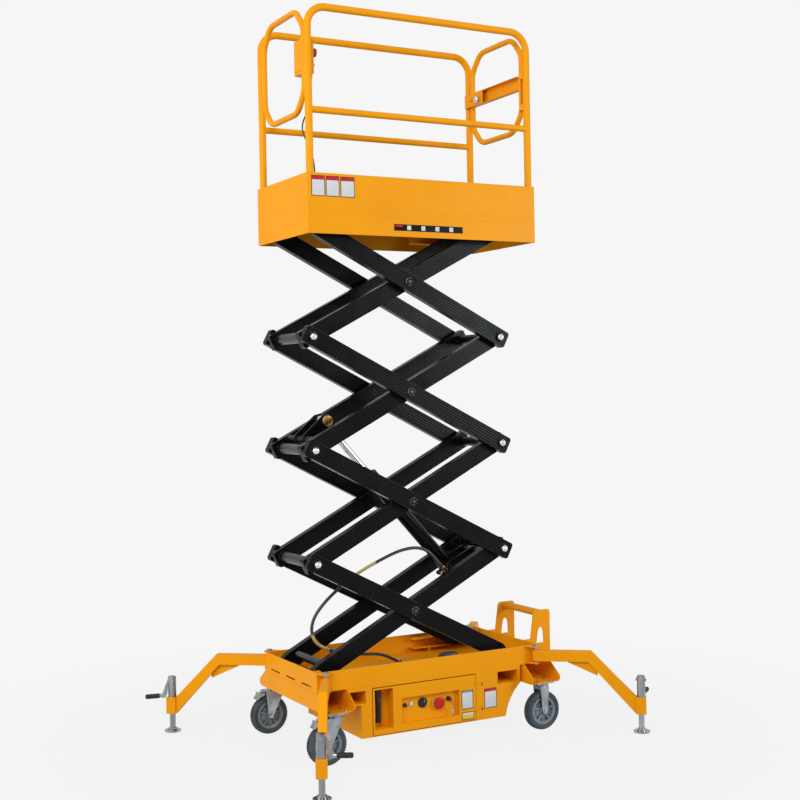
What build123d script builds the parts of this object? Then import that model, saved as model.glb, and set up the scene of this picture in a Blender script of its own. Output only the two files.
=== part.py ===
# Push-around scissor work platform, raised, on four outriggers.
# Millimetres. Origin on the floor under the centre of the base frame.
# +X runs along the base towards the push handle, +Z is up.
from build123d import *
import math
import os

os.makedirs("parts", exist_ok=True)

# ---------------------------------------------------------------- scissor stack
arm_length = 1188.0             # pin to pin
rest_angle = 27.25              # arm above level in the stored pose, degrees
level_count = 4
arm_depth = 85.0
arm_width = 40.0
arm_wall = 4.0
arm_overhang = 46.0             # arm beyond its end pin
layer_gap = 5.0                 # between inner and outer arms
inner_face = 155.0              # half the clear width between the inner arms
left_pin_x = -583.0
base_pin_z = 387.0
pin_radius = 15.0
run_fit = 0.08                  # radial play of a pivot that carries a joint
open_fit = 0.5                  # radial play of a pivot that closes the linkage
tie_radius = 25.0               # cross tube between two inner arms
tie_bore = 17.0
washer_radius = 24.0
nut_radius = 16.0
nut_height = 11.0
roller_radius = 22.0
roller_play = 0.5

# ---------------------------------------------------------------- base frame
base_half_x = 630.0
base_half_y = 306.0
floor_z = 335.0
base_top = 430.0
plate = 5.0
floor_plate = 4.0
hinge_x = 597.0
hinge_out = 30.0                # hinge pins outside the frame
hinge_pin = 8.0

# ---------------------------------------------------------------- casters
channel_z = 245.0
channel_tip = 400.0
caster_y = 345.0
swivel_x = -556.0
fixed_x = 619.0
swivel_trail = 47.0
wheel_radius = 100.0
wheel_width = 50.0
rim_radius = 70.0
axle_radius = 6.0

# ---------------------------------------------------------------- outriggers
jack_reach = 528.0
jack_top = 282.0
jack_radius = 21.0
leg_radius = 15.0
foot_radius = 42.0

# ---------------------------------------------------------------- power box
box_left = -397.0
box_bottom = 86.0
sheet = 3.0

# ---------------------------------------------------------------- platform
skirt_left = -625.0
skirt_right = 660.0
skirt_half_y = 303.0
skirt_sheet = 2.5
skirt_drop = 137.0              # skirt below the deck
toe_height = 150.0              # skirt above the deck
deck_rise = 78.18               # deck above the highest pins
deck_sheet = 5.0
rail_height = 941.0             # all heights from here on are above the deck
mid_rail_height = 451.0
post_inset_left = 23.5
post_inset_right = 21.5
post_inset_y = 23.0
post_radius = 18.0
post_wall = 2.5
mid_radius = 16.0
rail_bend = 95.0
loop_radius = 14.5
loop_inset = 40.0

cos_rest = math.cos(math.radians(rest_angle))
sin_rest = math.sin(math.radians(rest_angle))
rise = arm_length * sin_rest
reach = arm_length * cos_rest
right_pin_x = left_pin_x + reach
outer_face = inner_face + arm_width + layer_gap
outer_side = outer_face + arm_width
hinge_y = base_half_y + hinge_out
floor_top = floor_z + floor_plate
roller_out = base_half_y - 26
top_pin_z = base_pin_z + level_count * rise
deck_top = top_pin_z + deck_rise
skirt_bottom = deck_top - skirt_drop
skirt_top = deck_top + toe_height
rail_z = deck_top + rail_height
mid_rail_z = deck_top + mid_rail_height
post_left = skirt_left + post_inset_left
post_right = skirt_right - post_inset_right
post_y = skirt_half_y - post_inset_y


def joint_z(step):
    return base_pin_z + step * rise


def block(x_low, x_high, y_low, y_high, z_low, z_high):
    centre = Pos((x_low + x_high) / 2, (y_low + y_high) / 2, (z_low + z_high) / 2)
    return centre * Box(x_high - x_low, y_high - y_low, z_high - z_low)


def face_of(corners):
    return make_face(Polyline(*corners, close=True))


def plate_xz(outline, y_low, y_high):
    face = face_of([(x, y_low, z) for x, z in outline])
    return extrude(face, amount=y_high - y_low, dir=(0, 1, 0))


def plate_yz(outline, x_low, x_high):
    face = face_of([(x_low, y, z) for y, z in outline])
    return extrude(face, amount=x_high - x_low, dir=(1, 0, 0))


def plate_xy(outline, z_low, z_high):
    face = face_of([(x, y, z_low) for x, y in outline])
    return extrude(face, amount=z_high - z_low, dir=(0, 0, 1))


def rod(start, end, radius):
    span = Vector(*end) - Vector(*start)
    return Solid.make_cylinder(radius, span.length, Plane(origin=start, z_dir=span))


def rod_y(x, z, y_low, y_high, radius):
    return rod((x, y_low, z), (x, y_high, z), radius)


def rod_z(x, y, z_low, z_high, radius):
    return rod((x, y, z_low), (x, y, z_high), radius)


def both_sides(shape):
    return [shape, mirror(shape, about=Plane.XZ)]


def join(shapes):
    total = shapes[0]
    for shape in shapes[1:]:
        total = total + shape
    return total


def cut(body, tools):
    for tool in tools:
        body = body - tool
    return body


def pipe(route, bends, radius, bore=0.0):
    path = FilletPolyline(*route, radius=bends)
    start = Plane(origin=path @ 0, z_dir=path % 0)
    section = start * Circle(radius)
    if bore > 0:
        section = section - start * Circle(bore)
    return sweep(section, path=path)


def hose(route, radius):
    bends = []
    for before, point, after in zip(route, route[1:], route[2:]):
        run_in = Vector(*point) - Vector(*before)
        run_out = Vector(*after) - Vector(*point)
        half_turn = math.radians(run_in.get_angle(run_out) / 2)
        bends.append(0.45 * min(run_in.length, run_out.length) / math.tan(half_turn))
    print("bend radii", [round(bend) for bend in bends])
    path = FilletPolyline(*route, radius=bends)
    start = Plane(origin=path @ 0, z_dir=path % 0)
    tube = sweep(start * Circle(radius), path=path)
    print("length", round(path.length, 1), "volume ratio",
          round(tube.volume / (math.pi * radius ** 2 * path.length), 4))
    return tube


def save(name, shape):
    shape.label = name
    export_step(shape, "parts/" + name + ".step")


def inner_point(level, along, off):
    x = left_pin_x + along * cos_rest - off * sin_rest
    return (x, joint_z(level) + along * sin_rest + off * cos_rest)


def outer_point(level, along, off):
    x = left_pin_x + along * cos_rest + off * sin_rest
    return (x, joint_z(level + 1) - along * sin_rest + off * cos_rest)


# ================================================================ scissor arms
def end_outline(radius):
    # corners of one arm end, from the upper edge round to the lower, pin at 0,0
    half = arm_depth / 2
    if radius == 0:
        nick = 9.0
        return [(-arm_overhang + nick, half), (-arm_overhang, half - nick),
                (-arm_overhang, nick - half), (nick - arm_overhang, -half)]
    corners = [(radius + 12, half)]
    for angle in (112.5, 157.5, 202.5, 247.5):
        turn = math.radians(angle)
        corners.append((radius * math.cos(turn), radius * math.sin(turn)))
    corners.append((radius + 12, -half))
    return corners


def arm_outline(low_round, high_round):
    low = end_outline(low_round)
    high = [(arm_length - u, n) for u, n in end_outline(high_round)]
    return low + high[::-1]


def arm_pair(place, y_low, low_round, high_round):
    half = arm_depth / 2
    outline = [place(u, n) for u, n in arm_outline(low_round, high_round)]
    body = plate_xz(outline, y_low, y_low + arm_width)
    start = low_round + 16 if low_round else 8 - arm_overhang
    end = arm_length - (high_round + 16 if high_round else 8 - arm_overhang)
    inner = half - arm_wall
    hollow = [place(start, inner), place(end, inner), place(end, -inner), place(start, -inner)]
    cavity = plate_xz(hollow, y_low + arm_wall, y_low + arm_width - arm_wall)
    for along in (0, arm_length / 2, arm_length):
        x, z = place(along, 0)
        cavity = cavity - rod_y(x, z, y_low, y_low + arm_width, washer_radius)
    drain = [(150, -half - 1), (165, -half - 1), (165, -inner + 1), (150, -inner + 1)]
    slot = plate_xz([place(u, n) for u, n in drain], y_low + 15, y_low + 25)
    body = body - cavity - slot
    return both_sides(body)


# radial play at the low end, the middle and the high end of each inner pair
inner_table = [
    # level, low play, high play, low end radius, high end radius
    (0, run_fit, run_fit, 35.0, 0.0),
    (1, open_fit, open_fit, 0.0, 0.0),
    (2, run_fit, run_fit, 0.0, 0.0),
    (3, open_fit, 0.0, 0.0, 0.0),
]
inner_pairs = []
for level, low_play, high_play, low_round, high_round in inner_table:
    def place(u, n, level=level):
        return inner_point(level, u, n)
    pair = join(arm_pair(place, inner_face, low_round, high_round))
    for along, play in ((0, low_play), (arm_length, high_play)):
        x, z = place(along, 0)
        pair = pair + rod_y(x, z, -inner_face, inner_face, tie_radius)
        pair = pair - rod_y(x, z, -inner_face, inner_face, tie_bore)
        wide = inner_face + arm_width + 1
        bore = pin_radius + play
        pair = pair - rod_y(x, z, -wide, wide, bore)
    x, z = place(arm_length / 2, 0)
    for low, high in ((-inner_face - arm_width - 1, 1 - inner_face), (inner_face - 1, wide)):
        pair = pair - rod_y(x, z, low, high, pin_radius + run_fit)
    inner_pairs.append(pair)

# ---- lift cylinder geometry, in the arms' own coordinates
foot_along = 966.0              # foot pin on the lowest inner pair
foot_tube_along = 1120.0
eye_along = 201.0               # rod eye on the third inner pair
eye_off = 50.0
eye_tube_along = 59.0
eye_tube_off = 20.0
ear_low = 42.0
ear_high = 52.0
bracket_radius = 20.0
foot_x, foot_z = inner_point(0, foot_along, 0)
port_reach = (-48.0, -30.0)
port_side = 50.0
eye_x, eye_z = inner_point(2, eye_along, eye_off)


def ear(place, start, end, start_radius, end_radius):
    # plate between two bosses, both given as (along, off)
    run = math.hypot(end[0] - start[0], end[1] - start[1])
    ux = (end[0] - start[0]) / run
    un = (end[1] - start[1]) / run
    corners = []
    for centre, radius, side in ((start, start_radius, -1), (end, end_radius, 1)):
        for forward, across in ((0, -side), (side * 0.8, -side * 0.6), (side * 0.8, side * 0.6), (0, side)):
            along = centre[0] + radius * (ux * forward - un * across)
            off = centre[1] + radius * (un * forward + ux * across)
            corners.append(place(along, off))
    return plate_xz(corners, ear_low, ear_high)


def lowest(u, n):
    return inner_point(0, u, n)


def third(u, n):
    return inner_point(2, u, n)


x, z = lowest(foot_tube_along, 0)
foot_bracket = rod_y(x, z, -inner_face, inner_face, bracket_radius)
foot_ears = both_sides(ear(lowest, (foot_tube_along, 0), (foot_along, 0), 30, 34))
foot_pin = rod_y(foot_x, foot_z, -58, 58, pin_radius)
inner_pairs[0] = join([inner_pairs[0], foot_bracket] + foot_ears + [foot_pin])

# ---- pressure hose of the cylinder: it leaves the port and rides on the lowest inner pair
hose_radius = 8.0
port_along = foot_along + port_reach[0] * cos_rest + port_reach[1] * sin_rest
port_off = port_reach[1] * cos_rest - port_reach[0] * sin_rest
hose_lead = [
    # along and off from the port, y
    (0.0, 0.0, -port_side),
    (0.0, 0.0, -78.0),
    (-4.0, 12.0, -103.0),
    (-12.0, 33.0, -119.5),
    (-26.0, 72.0, -124.0),
]
hose_table = [
    # along and off the lowest inner arm, y
    (871.2, 105.9, -124.0),
    (860.1, 152.1, -124.0),
    (836.5, 198.0, -124.0),
    (790.9, 236.1, -124.0),
    (721.4, 262.9, -124.0),
    (658.9, 274.8, -124.0),
    (589.7, 282.3, -123.0),
    (518.7, 288.5, -122.0),
    (438.6, 290.4, -121.0),
    (358.5, 283.3, -120.0),
    (287.7, 272.5, -120.0),
    (219.5, 255.9, -119.0),
    (154.3, 227.6, -117.0),
    (114.9, 186.0, -115.0),
    (103.2, 141.4, -113.0),
    (109.4, 101.1, -110.0),
    (127.8, 66.9, -107.0),
    (148.5, 41.6, -105.0),
]
lift_route = []
for along, off, y in [(port_along + u, port_off + n, y) for u, n, y in hose_lead] + hose_table:
    x, z = lowest(along, off)
    lift_route.append((x, y, z))
hose_end = Vector(*lift_route[-1])
hose_way = (hose_end - Vector(*lift_route[-2])).normalized()
ferrule = rod(hose_end, hose_end + hose_way * 26, 12)
holder = rod(hose_end + hose_way * 13, (hose_end.X + hose_way.X * 13, -inner_face - 1, hose_end.Z + hose_way.Z * 13), 7)
inner_pairs[0] = join([inner_pairs[0], ferrule, holder])
save("lift_hose", hose(lift_route, hose_radius))
x, z = third(eye_tube_along, eye_tube_off)
eye_bracket = rod_y(x, z, -inner_face, inner_face, bracket_radius)
eye_ears = both_sides(ear(third, (eye_tube_along, eye_tube_off), (eye_along, eye_off), 30, 36))
eye_caps = both_sides(rod_y(eye_x, eye_z, ear_high, ear_high + 7, 20))
inner_pairs[2] = join([inner_pairs[2], eye_bracket] + eye_ears + eye_caps)
for level in range(level_count):
    save("inner_arms_" + str(level + 1), inner_pairs[level])

outer_table = [
    # level, low end radius, high end radius, half length of the low shaft, of the high shaft
    (0, 0.0, 23.5, outer_side, roller_out + 2),
    (1, 0.0, 0.0, outer_side, outer_side),
    (2, 0.0, 0.0, outer_side, outer_side),
    (3, 32.5, 0.0, 254.0, outer_side),
]
for level, low_round, high_round, low_shaft, high_shaft in outer_table:
    def place(u, n, level=level):
        return outer_point(level, u, n)
    pair = join(arm_pair(place, outer_face, low_round, high_round))
    for along, half_shaft in ((0, low_shaft), (arm_length, high_shaft)):
        x, z = place(along, 0)
        pair = pair + rod_y(x, z, -half_shaft, half_shaft, pin_radius)
        if half_shaft < 260:
            cap = rod_y(x, z, half_shaft, half_shaft + nut_height, nut_radius)
            pair = join([pair] + both_sides(cap))
    x, z = place(arm_length / 2, 0)
    stub = rod_y(x, z, inner_face - 2, outer_side, pin_radius)
    cap = rod_y(x, z, outer_side, outer_side + nut_height, nut_radius)
    pair = join([pair] + both_sides(stub + cap))
    for along in (0, arm_length / 2, arm_length):
        x, z = place(along, 0)
        ring = rod_y(x, z, outer_face - layer_gap + 0.3, outer_face, washer_radius - 2)
        pair = join([pair] + both_sides(ring))
    save("outer_arms_" + str(level + 1), pair)

# ---- guide rollers at the sliding ends
x, z = outer_point(0, arm_length, 0)
ring = rod_y(x, z, outer_side + 6, roller_out, roller_radius) - rod_y(x, z, outer_side, roller_out + 1, pin_radius)
save("base_rollers", Compound(children=both_sides(ring)))
x, z = inner_point(3, arm_length, 0)
axle = rod_y(x, z, -238, 238, pin_radius)
wheels = both_sides(rod_y(x, z, 199, 234, roller_radius))
save("platform_rollers", join([axle] + wheels))

# ================================================================ lift cylinder
barrel_radius = 37.5
barrel_bore = 30.0
gland_end = 671.0
rod_radius = 17.5
rod_length = 680.0
eye_width = 40.0
stroke_now = math.hypot(eye_x - foot_x, eye_z - foot_z)
lean_x = (eye_x - foot_x) / stroke_now
lean_z = (eye_z - foot_z) / stroke_now


def on_cylinder(distance):
    return (foot_x + lean_x * distance, 0, foot_z + lean_z * distance)


barrel = rod(on_cylinder(24), on_cylinder(gland_end - 16), barrel_radius)
barrel = barrel + rod(on_cylinder(gland_end - 26), on_cylinder(gland_end), barrel_radius + 3.5)
barrel = barrel - rod(on_cylinder(55), on_cylinder(gland_end - 16), barrel_bore)
barrel = barrel - rod(on_cylinder(gland_end - 17), on_cylinder(gland_end + 1), rod_radius + 0.05)
barrel = barrel + rod_y(foot_x, foot_z, -eye_width, eye_width, 31)
barrel = barrel - rod_y(foot_x, foot_z, -eye_width - 1, eye_width + 1, pin_radius + run_fit)
port_x = foot_x + port_reach[0]
port_z = foot_z + port_reach[1]
port_start = (foot_x + port_reach[0] * 0.4, 0, foot_z + port_reach[1] * 0.4)
port = rod(port_start, (port_x, 0, port_z), 13)
fitting = rod_y(port_x, port_z, -port_side, 13, 12)
barrel = join([barrel, port, fitting])
save("cylinder_barrel", barrel)

piston = rod(on_cylinder(stroke_now - rod_length), on_cylinder(stroke_now - rod_length + 30), barrel_bore - 0.1)
shaft = rod(on_cylinder(stroke_now - rod_length), on_cylinder(stroke_now - 10), rod_radius)
eye = rod_y(eye_x, eye_z, -eye_width, eye_width, 25)
save("cylinder_rod", join([shaft, piston, eye]))

# ================================================================ base frame
tray_route = [
    (-428, -76, 361),
    (-428, -76, 392),
    (-412, -76, 420),
    (-384, -75, 439),
    (-350, -73, 446),
    (-312, -70, 444.5),
    (-270, -66, 441),
    (-228, -61, 434.5),
    (-190, -55, 431),
    (-156, -48, 424),
    (-122, -38, 412),
    (-90, -27, 397),
    (-60, -15, 381),
    (-30, -4, 366),
]
tray_glands = [(-428, -76, 361)]
beam = block(-base_half_x, base_half_x, base_half_y - plate, base_half_y, floor_top, base_top)
frame_parts = both_sides(beam)
frame_parts.append(block(-base_half_x, base_half_x, -base_half_y, base_half_y, floor_z, floor_top))
slot_half = 55.0
for low in (-base_half_x, base_half_x - plate):
    end_plate = block(low, low + plate, plate - base_half_y, base_half_y - plate, floor_top, base_top)
    if low < 0:
        for y in (-185, 0, 185):
            end_plate = end_plate - block(low - 1, low + plate + 1, y - slot_half, y + slot_half, floor_top + 10, floor_top + 18)
    frame_parts.append(end_plate)
track_low = base_pin_z - roller_radius - roller_play
track_high = base_pin_z + roller_radius + roller_play
track_in = outer_side + 6
for z_low, z_high in ((track_low - 4.5, track_low), (track_high, track_high + 4.5)):
    flange = block(205, base_half_x - plate, track_in, base_half_y - plate, z_low, z_high)
    frame_parts += both_sides(flange)
rib = block(300, 306, track_in, base_half_y - plate, floor_top, track_low - 4.5)
frame_parts += both_sides(rib)
lug_outline = [(-43, floor_top), (43, floor_top), (30, 20 + base_pin_z), (14, 32 + base_pin_z),
               (-14, 32 + base_pin_z), (-30, 20 + base_pin_z)]
lug = plate_xz([(left_pin_x + u, z) for u, z in lug_outline], outer_face, outer_face + 10)
frame_parts += both_sides(lug)
pivot = rod_y(left_pin_x, base_pin_z, inner_face - 5, outer_face + 16, pin_radius)
frame_parts += both_sides(pivot)
for side in (-1, 1):
    corner = [(-45, base_half_y - plate), (33, base_half_y - plate), (33, base_half_y + 22),
              (16, base_half_y + 46), (-16, base_half_y + 46), (-45, base_half_y + 12)]
    outline = [(side * (hinge_x + u), y) for u, y in corner]
    for z_low, z_high in ((floor_z + 6, floor_z + 12), (base_top - 6, base_top)):
        frame_parts += both_sides(plate_xy(outline, z_low, z_high))
for x, y, z in tray_glands:
    frame_parts.append(rod_z(x, y, floor_top, z, 12))
frame = join(frame_parts)
for x in (-hinge_x, hinge_x):
    for y in (-hinge_y, hinge_y):
        frame = frame - rod_z(x, y, floor_top, base_top + 1, hinge_pin)
save("base_frame", frame)

tray_end = Vector(*tray_route[-1])
tray_way = (tray_end - Vector(*tray_route[-2])).normalized()
socket = rod(tray_end, tray_end + tray_way * 22, 12)
base_block = block(tray_end.X + 8, tray_end.X + 36, tray_end.Y - 8, tray_end.Y + 20, floor_top, floor_top + 25)
save("tray_hose", hose(tray_route, hose_radius))
save("hose_block", socket + base_block)

pins = []
for x in (-hinge_x, hinge_x):
    for y in (-hinge_y, hinge_y):
        pin = rod_z(x, y, floor_z - 0.5, base_top + 2, hinge_pin)
        pin = pin + rod_z(x, y, base_top, base_top + 5, 12)
        pins.append(pin + rod_z(x, y, floor_z + 1, floor_z + 6, 11))
save("hinge_pins", Compound(children=pins))

# ---- transverse channels that carry the casters
channel_table = [
    # name, low x, high x
    ("swivel_channel", -627.0, -474.0),
    ("fixed_channel", 533.0, 700.0),
]
for name, low, high in channel_table:
    half_web = [(base_half_y + 14, floor_z), (channel_tip, 277), (channel_tip, 262), (channel_tip - 16, channel_z)]
    web = half_web + [(-y, z) for y, z in half_web[::-1]]
    floor_end = channel_tip - 16
    parts = [plate_yz(web, low, low + plate), plate_yz(web, high - plate, high)]
    parts.append(block(low, high, -floor_end, floor_end, channel_z, channel_z + plate))
    channel = join(parts)
    for x in (-hinge_x, hinge_x):
        for y in (-hinge_y, hinge_y):
            channel = channel - rod_z(x, y, floor_z - 2, floor_z + 7, 14)
    save(name, channel)

# ---- push handle
handle_half = 173.0
handle_plate = 6.0
handle_rise = 148.0             # above the top of the base frame
bar_radius = 19.0
handle_table = [(0, floor_z - base_top), (170, floor_z - base_top), (170, handle_rise - 10), (160, handle_rise),
                (80, handle_rise), (66, handle_rise - 12), (46, 0), (0, 0)]
arch_table = [(83, -25), (130, -25), (127, 35), (121, 52), (110, 59), (99, 52), (93, 35)]
outline = [(base_half_x + x, base_top + z) for x, z in handle_table]
arch = [(base_half_x + x, base_top + z) for x, z in arch_table]
cheek = plate_xz(outline, handle_half - handle_plate, handle_half)
cheek = cheek - plate_xz(arch, handle_half - handle_plate - 1, handle_half + 1)
bar_reach = handle_half - handle_plate / 2
grip_bar = rod_y(base_half_x + 121, base_top + handle_rise - bar_radius - 2, -bar_reach, bar_reach, bar_radius)
save("push_handle", join(both_sides(cheek) + [grip_bar]))

# ================================================================ power box
pocket_table = [
    # low x, high x
    (-474.0, -370.0),
    (377.0, 503.0),
]
pocket_low = 255.0
pocket_high = 315.0
box_outline = [(-474, floor_z), (-474, 248), (box_left, 248), (box_left, box_bottom), (425, box_bottom),
               (432, 116), (443, 147), (459, 178), (480, 209), (503, 234), (518, 248), (518, floor_z)]
inner_outline = [(-471, floor_z + 1), (-471, 251), (box_left + sheet, 251), (box_left + sheet, box_bottom + sheet),
                 (422.5, box_bottom + sheet), (429, 117), (440.4, 148.6), (456.5, 179.8), (477.7, 211.1),
                 (501, 236.4), (515, 249.5), (515, floor_z + 1)]
shell = plate_xz(box_outline, -base_half_y, base_half_y)
shell = shell - plate_xz(inner_outline, sheet - base_half_y, base_half_y - sheet)
door_low = -338.0
door_high = 251.0
door_top = 323.0
door_bottom = 92.0
opening = block(door_low, door_high, -base_half_y - 1, sheet - base_half_y, door_bottom - 3, door_top)
shell = shell - opening
for low, high in pocket_table:
    tube = block(low, high, -base_half_y, base_half_y, pocket_low - sheet, pocket_high + sheet)
    shell = shell + tube
    shell = shell - block(low + sheet, high - sheet, -base_half_y - 1, base_half_y + 1, pocket_low, pocket_high)
door_axis_x = door_high - 5
door_axis_y = -base_half_y - 0.5
knuckle = 2.5
door_pin = 1.2
door_hinges = (138.0, 268.0)
for z in door_hinges:
    shell = shell + block(door_axis_x + 1.5, door_high + 12, -base_half_y - 1.5, -base_half_y, z + 0.3, z + 15)
    shell = shell + rod_z(door_axis_x, door_axis_y, z + 0.3, z + 15, knuckle)
    shell = shell + rod_z(door_axis_x, door_axis_y, z - 12, z + 15, door_pin)
save("power_box", shell)
pack_side = base_half_y - 26
save("power_pack", block(-330, 330, -base_half_y / 2, pack_side, box_bottom + sheet, pocket_low - sheet - 20))

# ---- control door, hinged on its right edge, with two pans let into it
door_left = door_low + 4
door_right = door_high - 2
front = -base_half_y
pan_table = [
    # low x, high x, low z, high z, depth
    (-324.0, -224.0, 118.0, 310.0, 62.0),
    (-174.0, 152.0, 128.0, 253.0, 24.0),
]
door = block(door_left, door_right, front, front + sheet, door_bottom, door_top - 4)
for low, high, z_low, z_high, depth in pan_table:
    outer = block(low - 2, high + 2, front, front + depth + 2, z_low - 2, z_high + 2)
    door = door + outer
    door = door - block(low, high, front - 1, front + depth, z_low, z_high)
for z in door_hinges:
    door = door - block(door_axis_x - 4, door_right + 1, front - 1, front + sheet + 1, z, z + 15.6)
    door = door + rod_z(door_axis_x, door_axis_y, z - 15, z, knuckle)
    door = door - rod_z(door_axis_x, door_axis_y, z - 16, z + 1, door_pin + run_fit)
save("control_door", door)
pan_back = front + pan_table[1][4]
control_table = [
    # x, radius, standing out, z
    (-148.0, 9.0, 14.0, 212.0),
    (-112.0, 10.5, 8.0, 212.0),
    (-60.0, 25.0, 15.0, 212.0),
    (30.0, 26.0, 21.0, 202.0),
    (91.0, 11.0, 18.0, 213.0),
]
controls = []
for x, radius, out, z in control_table:
    controls.append(rod_y(x, z, pan_back - out, pan_back, radius))
save("ground_controls", Compound(children=controls))
plug_back = front + pan_table[0][4]
plug = rod((-285, plug_back - 22, 150), (-285, plug_back - 22, 272), 13)
plug = plug + block(-300, -270, plug_back - 30, plug_back, 262, 300)
plug = plug + block(-296, -274, plug_back - 30, plug_back, 140, 160)
save("charging_plug", plug)

# ================================================================ casters
axle_z = wheel_radius
fork_in = wheel_width / 2 + 5
fork_out = fork_in + 4


def fork(x_axis, y_axis, x_wheel):
    parts = [block(x_axis - 52, x_axis + 52, y_axis - 42, y_axis + 42, channel_z - 5, channel_z)]
    parts.append(rod_z(x_axis, y_axis, channel_z - 20, channel_z - 5, 34))
    crown_z = channel_z - 26
    x_low = min(x_axis, x_wheel) - 26
    x_high = max(x_axis, x_wheel) + 26
    parts.append(block(x_low, x_high, y_axis - fork_out, y_axis + fork_out, crown_z, channel_z - 20))
    leg = [(x_low, crown_z), (x_high, crown_z), (x_wheel + 15, axle_z), (x_wheel + 10, axle_z - 14),
           (x_wheel - 10, axle_z - 14), (x_wheel - 15, axle_z)]
    parts.append(plate_xz(leg, y_axis - fork_out, y_axis - fork_in))
    parts.append(plate_xz(leg, y_axis + fork_in, y_axis + fork_out))
    parts.append(rod_y(x_wheel, axle_z, y_axis - fork_out - 5, y_axis + fork_out + 5, axle_radius))
    return join(parts)


tyre_half = [(rim_radius, 21), (rim_radius + 8, 24), (88, wheel_width / 2), (95, 20), (wheel_radius, 9)]
tyre_profile = tyre_half + [(r, -y) for r, y in tyre_half[::-1]]
hub_half = [(axle_radius + 0.06, 27), (20, 27), (22, 14), (52, 8), (58, 20), (rim_radius, 21)]
hub_profile = hub_half + [(r, -y) for r, y in hub_half[::-1]]


def spun(profile, x, y):
    face = face_of([(x + r, y + w, axle_z) for r, w in profile])
    return revolve(face, Axis((x, y, axle_z), (0, 1, 0)), 360)


hub_ribs = 5
rib_half = 5.0


def ribbed_hub(x, y):
    hub = spun(hub_profile, x, y)
    for k in range(hub_ribs):
        turn = Location((x, y, axle_z), (0, 360 * k / hub_ribs, 0))
        for low, high in ((7, 18), (-18, -7)):
            hub = hub + turn * block(-rib_half, rib_half, low, high, 18, rim_radius - 9)
    return hub


caster_table = [
    # name, axis x, axis y, wheel x
    ("swivel_front", swivel_x, -caster_y, swivel_x - swivel_trail),
    ("swivel_back", swivel_x, caster_y, swivel_x - swivel_trail),
    ("fixed_front", fixed_x, -caster_y, fixed_x),
    ("fixed_back", fixed_x, caster_y, fixed_x),
]
for name, x_axis, y_axis, x_wheel in caster_table:
    body = fork(x_axis, y_axis, x_wheel)
    if x_wheel != x_axis:
        pedal = [(x_wheel - 20, 222), (x_wheel - 62, 206), (x_wheel - 76, 186), (x_wheel - 70, 182),
                 (x_wheel - 52, 196), (x_wheel - 14, 208)]
        body = body + plate_xz(pedal, y_axis - 22, y_axis + 22)
    save("fork_" + name, body)
    save("tyre_" + name, spun(tyre_profile, x_wheel, y_axis))
    save("hub_" + name, ribbed_hub(x_wheel, y_axis))

# ================================================================ outriggers
outrigger_table = [
    # name, hinge x, hinge y, direction, crank direction, degrees from +X
    ("front_right", hinge_x, -hinge_y, -38.7, 38.5),
    ("front_left", -hinge_x, -hinge_y, 242.0, -28.6),
    ("back_left", -hinge_x, hinge_y, 141.4, 168.4),
    ("back_right", hinge_x, hinge_y, 50.0, 48.0),
]
arm_half = 20.0
socket_half = 25.0
arm_low = 354.0
arm_high = 408.0
socket_in = 503.0
socket_out = 553.0
socket_low = 95.0
socket_high = 180.0
profile = [(0, arm_low), (265, arm_low), (socket_in, socket_low), (socket_in, socket_high),
           (280, arm_high), (0, arm_high)]
hollow = [(40, arm_low + 4), (267, arm_low + 4), (socket_in - 10, socket_low + 22), (socket_in - 10, socket_high + 3),
          (278, arm_high - 4), (40, arm_high - 4)]
gusset = [(145, arm_low + 2), (266, arm_low + 2), (314, 305), (311, 282)]
lever = [(-13, 284), (13, 284), (20, 276), (52, 200), (52, 178), (36, 178), (26, 200), (22, 240), (-13, 270)]
for name, x_hinge, y_hinge, direction, crank in outrigger_table:
    post = Location((x_hinge, y_hinge, 0), (0, 0, direction))
    outer = plate_xz(profile, -arm_half, arm_half)
    inner = plate_xz(hollow, 4 - arm_half, arm_half - 4)
    arm = outer - inner - block(socket_in - 30, socket_in - 15, -6, 6, socket_low - 35, socket_low + 45)
    arm = arm + plate_xz(gusset, -3, 3)
    arm = arm + rod_z(0, 0, arm_low, arm_high, arm_half - 1.5)
    arm = arm - rod_z(0, 0, arm_low - 1, arm_high + 1, hinge_pin + run_fit)
    arm = arm + block(socket_in, socket_out, -socket_half, socket_half, socket_low, socket_high)
    arm = arm - rod_z(jack_reach, 0, socket_low - 1, socket_high + 1, jack_radius)
    save("outrigger_" + name, post * arm)
    tube = rod_z(jack_reach, 0, socket_low, jack_top, jack_radius)
    tube = tube - rod_z(jack_reach, 0, socket_low - 1, jack_top - 6, leg_radius + run_fit)
    turned = Location((jack_reach, 0, 0), (0, 0, crank - direction))
    swing = plate_xz(lever, -5, 5) - rod_z(0, 0, 170, jack_top - 1, jack_radius - 1)
    grip = rod((50, 0, 190), (136, 0, 190), 10)
    tube = tube + turned * swing
    tube = tube + turned * grip
    save("jack_" + name, post * tube)
    leg = rod_z(jack_reach, 0, 6, 181, leg_radius)
    leg = leg + rod_z(jack_reach, 0, 0, 8, foot_radius)
    leg = leg + rod_z(jack_reach, 0, 8, 20, 22)
    save("leg_" + name, post * leg)

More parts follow.
